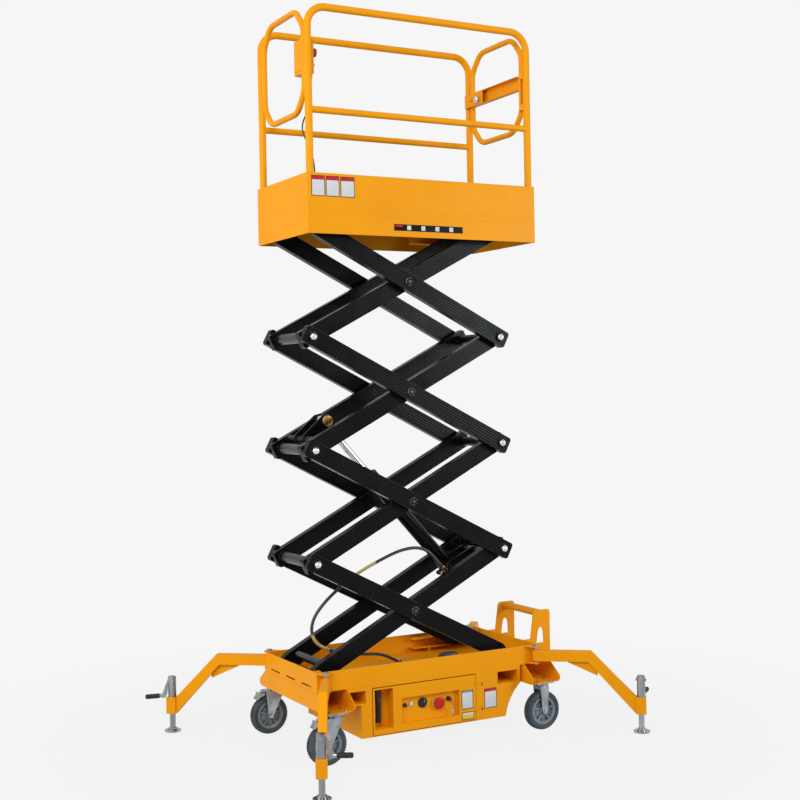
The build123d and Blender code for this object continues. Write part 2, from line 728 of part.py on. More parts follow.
# ================================================================ platform
half_y = skirt_half_y
wall = skirt_sheet
skirt = block(skirt_left, skirt_right, -half_y, half_y, skirt_bottom, skirt_top)
skirt = skirt - block(skirt_left + wall, skirt_right - wall, wall - half_y, half_y - wall,
                      skirt_bottom - 1, skirt_top + 1)
save("platform_skirt", skirt)
under = deck_top - deck_sheet
gland_x = post_left + 41
gland_y = -post_y + 34
gland_radius = 8.0
deck = block(skirt_left + wall, skirt_right - wall, wall - half_y, half_y - wall, under, deck_top)
for x in (post_left, post_right):
    for y in (-post_y, post_y):
        deck = deck - rod_z(x, y, under - 1, deck_top + 1, post_radius + run_fit)
deck = deck - rod_z(gland_x, gland_y, under - 1, deck_top + 1, gland_radius + run_fit)
save("platform_deck", deck)
track_start = 220.0
track_end = skirt_right - 18
web_in = outer_side
track = [block(track_start, track_end, web_in, web_in + 4, top_pin_z - roller_radius - 6, under)]
for z_low, z_high in ((-roller_radius - roller_play - 4.5, -roller_radius - roller_play),
                      (roller_radius + roller_play, roller_radius + roller_play + 4.5)):
    track.append(block(track_start, track_end, outer_face, web_in, top_pin_z + z_low, top_pin_z + z_high))
lug = plate_xz([(left_pin_x - 30, under), (left_pin_x - 30, top_pin_z - 12), (left_pin_x - 14, top_pin_z - 28),
                (left_pin_x + 14, top_pin_z - 28), (left_pin_x + 34, top_pin_z - 8), (left_pin_x + 60, under)],
               outer_side + 4.7, outer_side + 12.7)
lug = lug - rod_y(left_pin_x, top_pin_z, outer_side, outer_side + 20, pin_radius + run_fit)
supports = both_sides(join(track)) + both_sides(lug)
for x in (-420, -60, 300):
    supports.append(block(x - 15, x + 15, wall - half_y, half_y - wall, under - 24, under))
side_member = block(left_pin_x - 30, track_end, outer_side, outer_side + 4.7, under - 24, under)
supports += both_sides(side_member)
save("platform_supports", join(supports))

gate_axis_x = post_right - 22
gate_axis_y = 24 - post_y
gate_knuckle = 6.0
hinge_low = deck_top + 580
hinge_high = hinge_low + 130
gate_pin = 3.0
for name, side in (("front", -1), ("back", 1)):
    y = side * post_y
    route = [(post_left, y, under), (post_left, y, rail_z), (post_right, y, rail_z), (post_right, y, under)]
    rail = pipe(route, rail_bend, post_radius, post_radius - post_wall)
    bar = rod((post_left, y, mid_rail_z), (post_right, y, mid_rail_z), mid_radius)
    bar = bar - rod((post_left, y, mid_rail_z), (post_right, y, mid_rail_z), mid_radius - 2)
    for x in (post_left, post_right):
        bar = bar - rod_z(x, y, mid_rail_z - 50, mid_rail_z + 50, post_radius - 1)
    rail = rail + bar
    if side < 0:
        tab = [(gate_axis_x - 4, gate_axis_y - 4), (gate_axis_x + 4, gate_axis_y + 4),
               (post_right - 8, y + 16), (post_right - 16, y + 8)]
        for z_low, z_high in ((hinge_low - 30, hinge_low - 0.3), (hinge_high + 0.3, hinge_high + 30)):
            rail = rail + (plate_xy(tab, z_low, z_high) - rod_z(post_right, y, z_low, z_high, post_radius - 1))
            rail = rail + rod_z(gate_axis_x, gate_axis_y, z_low, z_high, gate_knuckle)
        rail = rail + rod_z(gate_axis_x, gate_axis_y, hinge_low - 30, hinge_high + 30, gate_pin)
    save("rail_" + name, rail)

loop_half_y = post_y - loop_inset
chamfer_y = 85.0
chamfer_z = 95.0
loop_bend = 100.0
loop_low = mid_rail_z
loop_high = rail_z


def loop(x):
    halves = []
    for side in (-1, 1):
        middle = (loop_low + loop_high) / 2
        route = [(x, 0, loop_low), (x, side * (loop_half_y - chamfer_y), loop_low),
                 (x, side * loop_half_y, loop_low + chamfer_z), (x, side * loop_half_y, loop_high - chamfer_z),
                 (x, side * (loop_half_y - chamfer_y), loop_high), (x, 0, loop_high)]
        halves.append(pipe(route, loop_bend, loop_radius, loop_radius - 2))
    return join(halves)


end_loop = loop(post_left)
for z in (deck_top + 589, deck_top + 799):
    clip = block(post_left - 8, post_left + 8, loop_half_y + loop_radius - 2, post_y - post_radius + 1, z - 12, z + 12)
    clip = clip - rod_z(post_left, post_y, z - 20, z + 20, post_radius)
    end_loop = join([end_loop] + both_sides(clip))
save("end_hoop", end_loop)

gate = loop(post_right)
bar_low = deck_top + 659
bar_high = bar_low + 72
bar_end = loop_half_y - loop_radius
bar = [block(post_right + 3, post_right + 6, -bar_end - 1, bar_end + 1, bar_low, bar_high)]
for z in (bar_low, bar_high - 3):
    bar.append(block(post_right - 24, post_right + 6, -bar_end - 1, bar_end + 1, z, z + 3))
bar.append(block(post_right - 27, post_right - 24, 98, post_y, bar_low, bar_high))
bar.append(rod((post_right - 38, 206, bar_low + 38), (post_right - 27, 206, bar_low + 38), 10))
bar.append(block(gate_axis_x - 2, post_right - 7, gate_axis_y + 4.5, gate_axis_y + 9, hinge_low, hinge_high))
bar.append(rod_z(gate_axis_x, gate_axis_y, hinge_low, hinge_high, gate_knuckle))
gate = join([gate] + bar)
gate = gate - rod_z(gate_axis_x, gate_axis_y, hinge_low - 1, hinge_high + 1, gate_pin + run_fit)
save("gate", gate)

# ---- control box, its cable and the cable's glands
box_base = deck_top + 644
box_x = post_left + 17.5
box_y = 62 - post_y
box = block(box_x, box_x + 54, box_y + 22, box_y + 130, box_base, box_base + 165)
box = box + block(post_left + loop_radius, box_x, box_y + 25, box_y + 120, box_base + 15, box_base + 145)
stop = rod((box_x + 54, box_y + 50, box_base + 105), (box_x + 76, box_y + 50, box_base + 105), 20)
gland = rod_z(box_x + 41, box_y + 40, box_base - 23, box_base, 11)
save("control_box", join([box, stop, gland]))

cable_radius = 3.5
cable_table = [
    # from the left post, from the front post, above the deck
    (58.5, 102, 621),
    (58.5, 102, 564),
    (52.5, 96, 504),
    (34, 89, 454),
    (8, 79, 412),
    (-5.5, 67, 371),
    (2.5, 65, 337),
    (17.5, 60, 305),
    (33.5, 52, 261),
    (43.5, 45, 207),
    (45.5, 39, 147),
    (43.5, 35, 92),
    (41, 34, 50),
    (41, 34, 10),
]
cable_route = [(post_left + x, y - post_y, deck_top + z) for x, y, z in cable_table]
save("control_cable", hose(cable_route, cable_radius))
save("cable_gland", rod_z(gland_x, gland_y, under, deck_top + 10, gland_radius))
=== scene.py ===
import bpy
import bmesh
import math
from mathutils import Matrix, Vector


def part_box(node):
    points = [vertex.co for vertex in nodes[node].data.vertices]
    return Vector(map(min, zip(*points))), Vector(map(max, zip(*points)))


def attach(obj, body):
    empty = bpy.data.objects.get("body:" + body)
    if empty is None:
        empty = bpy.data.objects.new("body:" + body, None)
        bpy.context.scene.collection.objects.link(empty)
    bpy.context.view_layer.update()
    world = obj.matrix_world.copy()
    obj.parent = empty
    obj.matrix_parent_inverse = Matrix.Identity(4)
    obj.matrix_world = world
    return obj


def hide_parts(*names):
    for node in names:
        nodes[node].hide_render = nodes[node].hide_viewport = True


# Raised push-around scissor platform: orange powder coat, black arm stack, zinc hardware.
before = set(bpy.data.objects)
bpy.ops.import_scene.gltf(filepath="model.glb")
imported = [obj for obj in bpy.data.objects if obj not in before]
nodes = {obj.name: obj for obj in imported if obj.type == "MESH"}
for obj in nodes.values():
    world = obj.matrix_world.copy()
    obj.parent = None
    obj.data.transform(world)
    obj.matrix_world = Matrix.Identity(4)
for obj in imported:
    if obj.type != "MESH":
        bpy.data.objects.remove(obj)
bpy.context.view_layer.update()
print("stage: frame loaded,", len(nodes), "nodes")

# camera, at eye height in front of the left corner
shot = {"place": (-3.250, -5.961, 1.764), "yaw": 28.7, "pitch": -0.5, "roll": -1.1, "lens": 59.53, "sensor": 36}
yaw, pitch, roll = (math.radians(shot[k]) for k in ("yaw", "pitch", "roll"))
ahead = Vector((math.sin(yaw) * math.cos(pitch), math.cos(yaw) * math.cos(pitch), math.sin(pitch)))
level = Vector((math.cos(yaw), -math.sin(yaw), 0))
upward = level.cross(ahead)
right = level * math.cos(roll) + upward * math.sin(roll)
top = upward * math.cos(roll) - level * math.sin(roll)
camera = bpy.data.objects.new("camera", bpy.data.cameras.new("camera"))
bpy.context.scene.collection.objects.link(camera)
camera.data.lens = shot["lens"]
camera.data.sensor_width = shot["sensor"]
camera.matrix_world = Matrix.Translation(shot["place"]) @ Matrix((right, top, -ahead)).transposed().to_4x4()
bpy.context.scene.camera = camera


# materials, all from shader nodes
def nodeOf(tree, kind, **values):
    made = tree.nodes.new(kind)
    for key, value in values.items():
        setattr(made, key, value)
    return made


def openMaterial(material):
    # its tree, its shader and the place on the object
    tree = material.node_tree
    return tree, tree.nodes["Principled BSDF"], nodeOf(tree, "ShaderNodeTexCoord").outputs["Object"]


def startMaterial(name):
    material = bpy.data.materials.new(name)
    material.use_nodes = True
    return material, *openMaterial(material)


def noiseOf(tree, spot, grain, stretch=(1, 1, 1)):
    # grain is the noise's scale and detail
    mapping = nodeOf(tree, "ShaderNodeMapping")
    mapping.inputs["Scale"].default_value = stretch
    tree.links.new(spot, mapping.inputs["Vector"])
    noise = nodeOf(tree, "ShaderNodeTexNoise")
    noise.inputs["Scale"].default_value, noise.inputs["Detail"].default_value = grain
    tree.links.new(mapping.outputs["Vector"], noise.inputs["Vector"])
    return noise.outputs["Fac"]


def rangeOf(tree, source, low, high, toLow=0.0, toHigh=1.0):
    made = nodeOf(tree, "ShaderNodeMapRange")
    for socket, value in zip(("From Min", "From Max", "To Min", "To Max"), (low, high, toLow, toHigh)):
        made.inputs[socket].default_value = value
    tree.links.new(source, made.inputs["Value"])
    return made.outputs["Result"]


def mathOf(tree, operation, first, second=None, clamp=False):
    made = nodeOf(tree, "ShaderNodeMath", operation=operation, use_clamp=clamp)
    for socket, value in zip(made.inputs, (first, second)):
        if value is None:
            continue
        if isinstance(value, (int, float)):
            socket.default_value = value
        else:
            tree.links.new(value, socket)
    return made.outputs[0]


def mixOf(tree, factor, first, second):
    # inputs 6 and 7 and output 2 are the colour sockets
    made = nodeOf(tree, "ShaderNodeMix", data_type="RGBA")
    for slot, value in ((6, first), (7, second)):
        if isinstance(value, tuple):
            made.inputs[slot].default_value = (*value, 1)
        else:
            tree.links.new(value, made.inputs[slot])
    tree.links.new(factor, made.inputs[0])
    return made.outputs[2]


def dotOf(tree, first):
    dot = nodeOf(tree, "ShaderNodeVectorMath", operation="DOT_PRODUCT")
    tree.links.new(first, dot.inputs[0])
    return dot


def edgeOf(tree, radius):
    # 1 on rounded edges, 0 on flats; the softened normal catches the light, and the mask places painted edge highlights
    # in the paints, metals and moulded finishes
    bevel = nodeOf(tree, "ShaderNodeBevel", samples=4)
    bevel.inputs["Radius"].default_value = radius
    dot = dotOf(tree, bevel.outputs["Normal"])
    tree.links.new(nodeOf(tree, "ShaderNodeNewGeometry").outputs["Normal"], dot.inputs[1])
    return bevel.outputs["Normal"], rangeOf(tree, dot.outputs["Value"], 0.995, 0.80)


def addRough(tree, shader, spot, grain, low, high, stretch=(1, 1, 1)):
    drift = rangeOf(tree, noiseOf(tree, spot, grain, stretch), 0.3, 0.7, low, high)
    tree.links.new(drift, shader.inputs["Roughness"])


def addBump(tree, shader, height, strength, distance, normal=None):
    bump = nodeOf(tree, "ShaderNodeBump")
    bump.inputs["Strength"].default_value = strength
    bump.inputs["Distance"].default_value = distance
    tree.links.new(height, bump.inputs["Height"])
    if normal:
        tree.links.new(normal, bump.inputs["Normal"])
    tree.links.new(bump.outputs["Normal"], shader.inputs["Normal"])


def sourceOf(shader, socket):
    # what already feeds one of the shader's sockets
    return shader.inputs[socket].links[0].from_socket


# worn is the colour of the random flecks and also of the painted highlight along rounded edges
paintLooks = {
    "orange": {"colour": (0.90, 0.345, 0.0), "wornAndSheen": (0.95, 0.43, 0.02), "grimeAndShade": (0.72, 0.24, 0.0),
               "rough": 0.44, "coat": 0.02, "gloss": 0.13, "flecks": 0.14, "edge": 0.0025},
    "black": {"colour": (0.0028, 0.003, 0.0036), "wornAndSheen": (0.28, 0.29, 0.30), "grimeAndShade": (0.006, 0.006, 0.006),
              "rough": 0.24, "coat": 0.0, "gloss": 0.09, "flecks": 0.02, "edge": 0.0022},
}
paintGrain = {"patches": (2.6, 6), "flecks": (38, 8), "scuffsAndSheen": (22, 6), "rough": (9, 5), "peel": (420, 2)}
paintCoat = {"rough": 0.16, "patches": 0.35, "scuffsAndSheen": (0.1, 0.85), "peel": 0.12, "peelHeight": 0.0004}


def paint(name, look):
    material, tree, shader, spot = startMaterial(name)
    normal, edge = edgeOf(tree, look["edge"])
    grain, coat = paintGrain, paintCoat
    patches = rangeOf(tree, noiseOf(tree, spot, grain["patches"]), 0.42, 0.78, 0.0, coat["patches"])
    flecks = rangeOf(tree, noiseOf(tree, spot, grain["flecks"]), 0.62, 0.72, 0.0, look["flecks"])
    wearAndSheen = rangeOf(tree, noiseOf(tree, spot, grain["scuffsAndSheen"]), 0.40, 0.62, *coat["scuffsAndSheen"])
    base = mixOf(tree, patches, look["colour"], look["grimeAndShade"])
    base = mixOf(tree, flecks, base, look["wornAndSheen"])
    # rounded edges take the worn colour in noisy patches: a little edge wear, mostly a painted edge highlight
    base = mixOf(tree, mathOf(tree, "MULTIPLY", edge, wearAndSheen), base, look["wornAndSheen"])
    tree.links.new(base, shader.inputs["Base Color"])
    addRough(tree, shader, spot, grain["rough"], look["rough"] - 0.06, look["rough"] + 0.10)
    shader.inputs["Specular IOR Level"].default_value = look["gloss"]
    shader.inputs["Coat Weight"].default_value = look["coat"]
    shader.inputs["Coat Roughness"].default_value = coat["rough"]
    addBump(tree, shader, noiseOf(tree, spot, grain["peel"]), coat["peel"], coat["peelHeight"], normal)
    return material


metalLooks = {
    "zinc": {"colour": (0.42, 0.455, 0.48), "dull": (0.20, 0.22, 0.235), "rough": 0.25, "edge": 0.0012},
    "satin": {"colour": (0.095, 0.10, 0.103), "dull": (0.055, 0.058, 0.06), "rough": 0.34, "edge": 0.0010,
              "stretch": (1, 0.1, 1)},
    "sleeve": {"colour": (0.34, 0.27, 0.23), "dull": (0.20, 0.15, 0.125), "rough": 0.30, "edge": 0.0008},
    "jack": {"colour": (0.46, 0.48, 0.50), "dull": (0.20, 0.21, 0.225), "rough": 0.18, "edge": 0.0012,
             "stretch": (1, 1, 0.12)},
    "chrome": {"colour": (0.78, 0.78, 0.79), "dull": (0.52, 0.53, 0.55), "rough": 0.12, "edge": 0.0008,
               "stretch": (1, 6, 1)},
    "brass": {"colour": (0.56, 0.36, 0.12), "dull": (0.30, 0.18, 0.06), "rough": 0.32, "edge": 0.0008},
}
metalGrain = {"clouds": (16, 5), "rough": (70, 4), "brush": (300, 3)}


def metal(name, look):
    material, tree, shader, spot = startMaterial(name)
    normal, edge = edgeOf(tree, look["edge"])
    stretch = look.get("stretch", (1, 1, 1))
    clouds = rangeOf(tree, noiseOf(tree, spot, metalGrain["clouds"], stretch), 0.35, 0.70)
    base = mixOf(tree, clouds, look["colour"], look["dull"])
    # painted highlight: rounded edges go back to the bright colour
    tree.links.new(mixOf(tree, edge, base, look["colour"]), shader.inputs["Base Color"])
    shader.inputs["Metallic"].default_value = 1.0
    addRough(tree, shader, spot, metalGrain["rough"], look["rough"] - 0.08, look["rough"] + 0.14, stretch)
    addBump(tree, shader, noiseOf(tree, spot, metalGrain["brush"], stretch), 0.10, 0.0003, normal)
    return material


softLooks = {
    # grain is the fine bump's scale; painted shade darkens corners within reach
    "tyre": {"colour": (0.046, 0.058, 0.064), "light": (0.085, 0.102, 0.110), "rough": 0.55, "grain": 240,
             "edge": 0.0010, "recessShade": (0.018, 0.022, 0.025), "reach": 0.012},
    "hub": {"colour": (0.165, 0.21, 0.24), "light": (0.30, 0.36, 0.40), "rough": 0.36, "grain": 300,
            "edge": 0.0016, "recessShade": (0.035, 0.045, 0.052), "reach": 0.030},
    "rubber": {"colour": (0.012, 0.012, 0.013), "light": (0.035, 0.035, 0.036), "rough": 0.55, "grain": 500,
               "edge": 0.0008},
    "ink": {"colour": (0.006, 0.006, 0.006), "light": (0.010, 0.010, 0.010), "rough": 0.50, "grain": 260,
            "edge": 0.0004, "gloss": 0.1},
    "plastic": {"colour": (0.016, 0.017, 0.018), "light": (0.05, 0.05, 0.052), "rough": 0.38, "grain": 700,
                "edge": 0.0008},
    "red": {"colour": (0.50, 0.006, 0.005), "light": (0.60, 0.012, 0.010), "rough": 0.42, "grain": 500,
            "edge": 0.0012},
    "white": {"colour": (0.60, 0.63, 0.65), "light": (0.68, 0.70, 0.71), "rough": 0.50, "grain": 260,
              "edge": 0.0006},
    "border": {"colour": (0.060, 0.022, 0.018), "light": (0.09, 0.035, 0.028), "rough": 0.50, "grain": 260,
               "edge": 0.0004},
    "grey": {"colour": (0.30, 0.33, 0.30), "light": (0.38, 0.41, 0.38), "rough": 0.50, "grain": 260,
             "edge": 0.0006},
    "yellow": {"colour": (0.72, 0.50, 0.03), "light": (0.80, 0.60, 0.10), "rough": 0.45, "grain": 260,
               "edge": 0.0006},
    "beige": {"colour": (0.45, 0.33, 0.20), "light": (0.55, 0.44, 0.30), "rough": 0.50, "grain": 260,
              "edge": 0.0010},
    "shade": {"colour": (0.20, 0.072, 0.004), "light": (0.28, 0.10, 0.008), "rough": 0.60, "grain": 60,
              "edge": 0.0006},
}
softGrain = {"patches": (18, 6), "rough": (45, 4), "detail": 3, "gloss": 0.3}


def moulded(name, look):
    material, tree, shader, spot = startMaterial(name)
    normal, edge = edgeOf(tree, look["edge"])
    patches = rangeOf(tree, noiseOf(tree, spot, softGrain["patches"]), 0.40, 0.75, 0.0, 0.8)
    base = mixOf(tree, patches, look["colour"], look["light"])
    if "recessShade" in look:
        # painted shade: hollows within reach are darkened through ambient occlusion
        hollow = nodeOf(tree, "ShaderNodeAmbientOcclusion", samples=8)
        hollow.inputs["Distance"].default_value = look["reach"]
        base = mixOf(tree, rangeOf(tree, hollow.outputs["AO"], 0.35, 0.85, 1.0, 0.0), base, look["recessShade"])
    # painted highlight: rounded edges are lightened towards the light colour
    lit = mixOf(tree, rangeOf(tree, edge, 0, 1, 0, 0.6), base, look["light"])
    tree.links.new(lit, shader.inputs["Base Color"])
    shader.inputs["Specular IOR Level"].default_value = look.get("gloss", softGrain["gloss"])
    addRough(tree, shader, spot, softGrain["rough"], look["rough"] - 0.06, look["rough"] + 0.10)
    grain = noiseOf(tree, spot, (look["grain"], softGrain["detail"]))
    addBump(tree, shader, grain, 0.16, 0.0004, normal)
    return material


def skirtPaint(look, seam):
    # the toe board's paint, with a pressed line where the deck is welded in, its groove darkened with painted shade
    material = paint("skirtPaint", look)
    tree, shader, spot = openMaterial(material)
    parts = nodeOf(tree, "ShaderNodeSeparateXYZ")
    tree.links.new(spot, parts.inputs[0])
    total = 0.0
    for z in seam["heights"]:
        apart = mathOf(tree, "ABSOLUTE", mathOf(tree, "SUBTRACT", parts.outputs["Z"], z))
        total = mathOf(tree, "MAXIMUM", total, rangeOf(tree, apart, 0.0, seam["width"], 1.0, 0.0))
    addBump(tree, shader, total, seam["strength"], seam["depth"], sourceOf(shader, "Normal"))
    shade = rangeOf(tree, total, 0.0, 1.0, 0.0, seam["dark"])
    # painted shade: the pressed line takes the grime colour
    darker = mixOf(tree, shade, sourceOf(shader, "Base Color"), look["grimeAndShade"])
    tree.links.new(darker, shader.inputs["Base Color"])
    return material


def treadPlate(look):
    # deck sheet with raised lozenges in two directions
    material, tree, shader, spot = startMaterial("deckPlate")
    total = 0.0
    for turn in (math.radians(45), math.radians(-45)):
        mapping = nodeOf(tree, "ShaderNodeMapping")
        mapping.inputs["Rotation"].default_value = (0, 0, turn)
        mapping.inputs["Scale"].default_value = (1 / look["pitch"], look["slim"] / look["pitch"], 1)
        tree.links.new(spot, mapping.inputs["Vector"])
        cells = nodeOf(tree, "ShaderNodeTexVoronoi")
        cells.inputs["Scale"].default_value = 1.0
        cells.inputs["Randomness"].default_value = 0.0
        tree.links.new(mapping.outputs["Vector"], cells.inputs["Vector"])
        total = mathOf(tree, "MAXIMUM", total, rangeOf(tree, cells.outputs["Distance"], 0.14, 0.26, 1.0, 0.0))
    clouds = rangeOf(tree, noiseOf(tree, spot, look["clouds"]), 0.35, 0.7)
    base = mixOf(tree, clouds, look["colour"], look["dull"])
    wornAndSheen = mixOf(tree, rangeOf(tree, total, 0, 1, 0, 0.5), base, look["light"])
    tree.links.new(wornAndSheen, shader.inputs["Base Color"])
    addRough(tree, shader, spot, look["grain"], *look["rough"])
    shader.inputs["Metallic"].default_value = look["metal"]
    addBump(tree, shader, total, 0.7, look["height"])
    return material


def hoseRubber(look):
    # black cover with a fine braid under it; pale bands inside the stated limits
    material, tree, shader, spot = startMaterial(look["name"])
    wave = nodeOf(tree, "ShaderNodeTexWave", wave_type="BANDS")
    wave.inputs["Scale"].default_value = look["braid"]
    wave.inputs["Distortion"].default_value = 1.5
    tree.links.new(spot, wave.inputs["Vector"])
    base = mixOf(tree, rangeOf(tree, noiseOf(tree, spot, (14, 6)), 0.35, 0.7), look["colour"], look["light"])
    parts = nodeOf(tree, "ShaderNodeSeparateXYZ")
    tree.links.new(spot, parts.inputs[0])
    for limits in look.get("bands", ()):
        inside = 1.0
        for axis, low, high in limits:
            where = parts.outputs[axis]
            for edge, ends in ((low, (0.0, 1.0)), (high, (1.0, 0.0))):
                inside = mathOf(tree, "MULTIPLY", inside, rangeOf(tree, where, edge, edge + look["fade"], *ends))
        base = mixOf(tree, inside, base, look["bandColour"])
    tree.links.new(base, shader.inputs["Base Color"])
    addRough(tree, shader, spot, (90, 3), 0.24, 0.38)
    addBump(tree, shader, wave.outputs["Fac"], 0.25, 0.0004)
    return material


# the arm stack, which the ribs, pivots and hoses follow
arms = {"length": 1.188, "angle": 27.25, "left": -0.583, "low": 0.387, "side": 0.240, "topSide": 0.254, "levels": 4}
ribs = {"pitch": 0.0132, "half": 0.034, "fade": 0.003, "strength": 0.17, "height": 0.0010}
armAngle = math.radians(arms["angle"])
rise = arms["length"] * math.sin(armAngle)
reach = arms["length"] * math.cos(armAngle)
leftX, rightX = arms["left"], arms["left"] + reach
midX = (leftX + rightX) / 2


def pinZ(step):
    return arms["low"] + step * rise


def armPaint(side, number):
    # black coat on a tube that is ribbed along its length
    material = paint("armPaint" + side.title() + str(number), paintLooks["black"])
    tree, shader, spot = openMaterial(material)
    lean = armAngle * (1 if side == "inner" else -1)
    across = (-math.sin(lean), 0, math.cos(lean))
    start = (leftX, 0, pinZ(number - 1 if side == "inner" else number))
    dot = dotOf(tree, spot)
    dot.inputs[1].default_value = across
    off = mathOf(tree, "SUBTRACT", dot.outputs["Value"], sum(a * b for a, b in zip(across, start)))
    wave = mathOf(tree, "SINE", mathOf(tree, "MULTIPLY", off, 2 * math.pi / ribs["pitch"]))
    inside = rangeOf(tree, mathOf(tree, "ABSOLUTE", off), ribs["half"], ribs["half"] - ribs["fade"])
    shape = mathOf(tree, "MULTIPLY", wave, inside)
    addBump(tree, shader, shape, ribs["strength"], ribs["height"], sourceOf(shader, "Normal"))
    return material


armFinish = {side + "_arms_" + str(k): armPaint(side, k)
             for side in ("inner", "outer") for k in range(1, arms["levels"] + 1)}
orangePaint = paint("orangePaint", paintLooks["orange"])
blackPaint = paint("blackPaint", paintLooks["black"])
metals = {key: metal(key + "Metal", look) for key, look in metalLooks.items()}
soft = {key: moulded(key + "Finish", look) for key, look in softLooks.items()}
toePaint = skirtPaint(paintLooks["orange"], {
    "heights": (2.632, 2.602), "width": 0.0022, "depth": 0.0016, "strength": 0.30, "dark": 0.14,
})
deckPlate = treadPlate({
    "pitch": 0.034, "slim": 0.38, "height": 0.0016, "clouds": (5, 7), "grain": (30, 4), "rough": (0.42, 0.62),
    "metal": 0.6, "colour": (0.30, 0.31, 0.32), "dull": (0.17, 0.175, 0.18), "light": (0.45, 0.46, 0.47),
})
hoseFinish = hoseRubber({
    "name": "hoseRubber", "colour": (0.012, 0.012, 0.012), "light": (0.03, 0.03, 0.03), "braid": 160,
    "bandColour": (0.45, 0.34, 0.07), "fade": 0.006,
    "bands": [(("X", -0.335, -0.215), ("Z", 0.60, 2.0)), (("X", -0.62, -0.44), ("Z", 0.40, 0.572))],
})
cableFinish = hoseRubber({
    "name": "cableRubber", "colour": (0.012, 0.012, 0.012), "light": (0.035, 0.035, 0.035), "braid": 300,
})
print("stage: materials made")

casters = ("swivel_front", "swivel_back", "fixed_front", "fixed_back")
corners = ("front_right", "front_left", "back_left", "back_right")
finishTable = [
    # material, solids
    (blackPaint, ["cylinder_barrel"]),
    (metals["zinc"], ["hinge_pins", "base_rollers", "platform_rollers", "hose_block", *("fork_" + w for w in casters)]),
    (metals["jack"], [part + "_" + corner for part in ("jack", "leg") for corner in corners]),
    (metals["chrome"], ["cylinder_rod"]),
    (soft["tyre"], ["tyre_" + w for w in casters]),
    (soft["hub"], ["hub_" + w for w in casters]),
    (soft["rubber"], ["charging_plug", "cable_gland"]),
    (soft["plastic"], ["ground_controls", "power_pack"]),
    (deckPlate, ["platform_deck"]),
    (toePaint, ["platform_skirt"]),
]
finishOf = {name: material for material, names in finishTable for name in names}
finishOf.update(armFinish)
for name, thing in nodes.items():
    thing.data.materials.clear()
    thing.data.materials.append(finishOf.get(name, orangePaint))


# mesh helpers: every piece is drawn into a bmesh and then made an object
def newPiece(name, mesh, body, material, smooth=30):
    data = bpy.data.meshes.new(name)
    bmesh.ops.recalc_face_normals(mesh, faces=mesh.faces)
    mesh.to_mesh(data)
    mesh.free()
    thing = bpy.data.objects.new(name, data)
    bpy.context.scene.collection.objects.link(thing)
    for one in material if isinstance(material, list) else [material]:
        data.materials.append(one)
    data.shade_smooth()
    data.set_sharp_from_angle(angle=math.radians(smooth))
    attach(thing, body)
    return thing


def turnTo(direction):
    return Vector((0, 0, 1)).rotation_difference(Vector(direction).normalized()).to_matrix()


def skin(mesh, rings):
    # quads between rings of the same count
    sides = len(rings[0])
    return [mesh.faces.new((low[k], low[(k + 1) % sides], high[(k + 1) % sides], high[k]))
            for low, high in zip(rings, rings[1:]) for k in range(sides)]


def addLathe(mesh, profile, place, direction, sides=32, finish=0, twist=0.0, ripple=None):
    # profile is radius, height pairs along the direction; ripple scales the radius round the ring
    turn = turnTo(direction)
    place = Vector(place)
    rings = []
    for radius, height in profile:
        ring = []
        for k in range(sides):
            angle = 2 * math.pi * k / sides + twist
            r = radius * (ripple(k) if ripple else 1)
            ring.append(mesh.verts.new(place + turn @ Vector((r * math.cos(angle), r * math.sin(angle), height))))
        rings.append(ring)
    faces = skin(mesh, rings)
    faces.append(mesh.faces.new(rings[0][::-1]))
    faces.append(mesh.faces.new(rings[-1]))
    for face in faces:
        face.material_index = finish


def addHex(mesh, radius, height, place, direction, twist=0.0, finish=0):
    # hexagon with chamfered corners, its base on the place
    c = radius * 0.12
    profile = [(radius - c, 0), (radius, c * 0.6), (radius, height - c * 0.6), (radius - c, height)]
    addLathe(mesh, profile, place, direction, 6, finish, twist)


def addBlock(mesh, low, high, edge=0.001, finish=0):
    # rectangular block with its edges rounded
    centre = [(a + b) / 2 for a, b in zip(low, high)]
    before = set(mesh.faces)
    made = bmesh.ops.create_cube(mesh, size=1.0)["verts"]
    for vert in made:
        vert.co = Vector([c + v * (b - a) for c, v, a, b in zip(centre, vert.co, low, high)])
    edges = list({e for v in made for e in v.link_edges})
    bmesh.ops.bevel(mesh, geom=edges, offset=edge, segments=2, affect="EDGES", profile=0.5)
    for face in mesh.faces:
        if face not in before:
            face.material_index = finish


def tubeProfile(radius, half):
    return [(radius - 0.001, -half), (radius, -half + 0.001), (radius, half - 0.001), (radius - 0.001, half)]


def notched(depth):
    # two points out, two points in, all round
    return lambda k: 1.0 if k % 4 < 2 else depth


# arm stack pivots: washers, nuts and greasers on the outer arms
pivotBolt = {"washer": 0.0255, "rim": 0.003, "nut": 0.0225, "thick": 0.0085, "dome": 0.0185, "crown": 0.0150,
             "steps": 8, "stub": 0.0085}
greaser = [(0.0035, 0), (0.0035, 0.003), (0.0022, 0.004), (0.0028, 0.006), (0.0015, 0.0075)]


def addPivot(mesh, x, y, z, twist, atEnd):
    # black washer and flange nut; a bright domed cap at an arm's end, a bare stud at its middle
    out = 1 if y > 0 else -1
    way = (0, out, 0)
    w = pivotBolt
    edge, rim = w["washer"], w["rim"]
    addLathe(mesh, [(edge - 0.001, 0), (edge, 0.0008), (edge, 0.0022), (edge - 0.001, rim)], (x, y, z), way, 36, 1)
    addHex(mesh, w["nut"], w["thick"] - rim, (x, y + out * rim, z), way, twist, 1 if atEnd else 2)
    place = (x, y + out * w["thick"], z)
    if atEnd:
        turns = [math.pi / 2 * k / w["steps"] for k in range(w["steps"])]
        addLathe(mesh, [(w["dome"] * math.cos(turn), w["crown"] * math.sin(turn)) for turn in turns], place, way, 32)
        addLathe(mesh, greaser, (x, y + out * (w["thick"] + w["crown"] - 0.001), z), way, 16)
    else:
        addLathe(mesh, [(w["stub"], 0), (w["stub"], 0.0035), (w["stub"] - 0.0015, 0.005)], place, way, 24, 2)


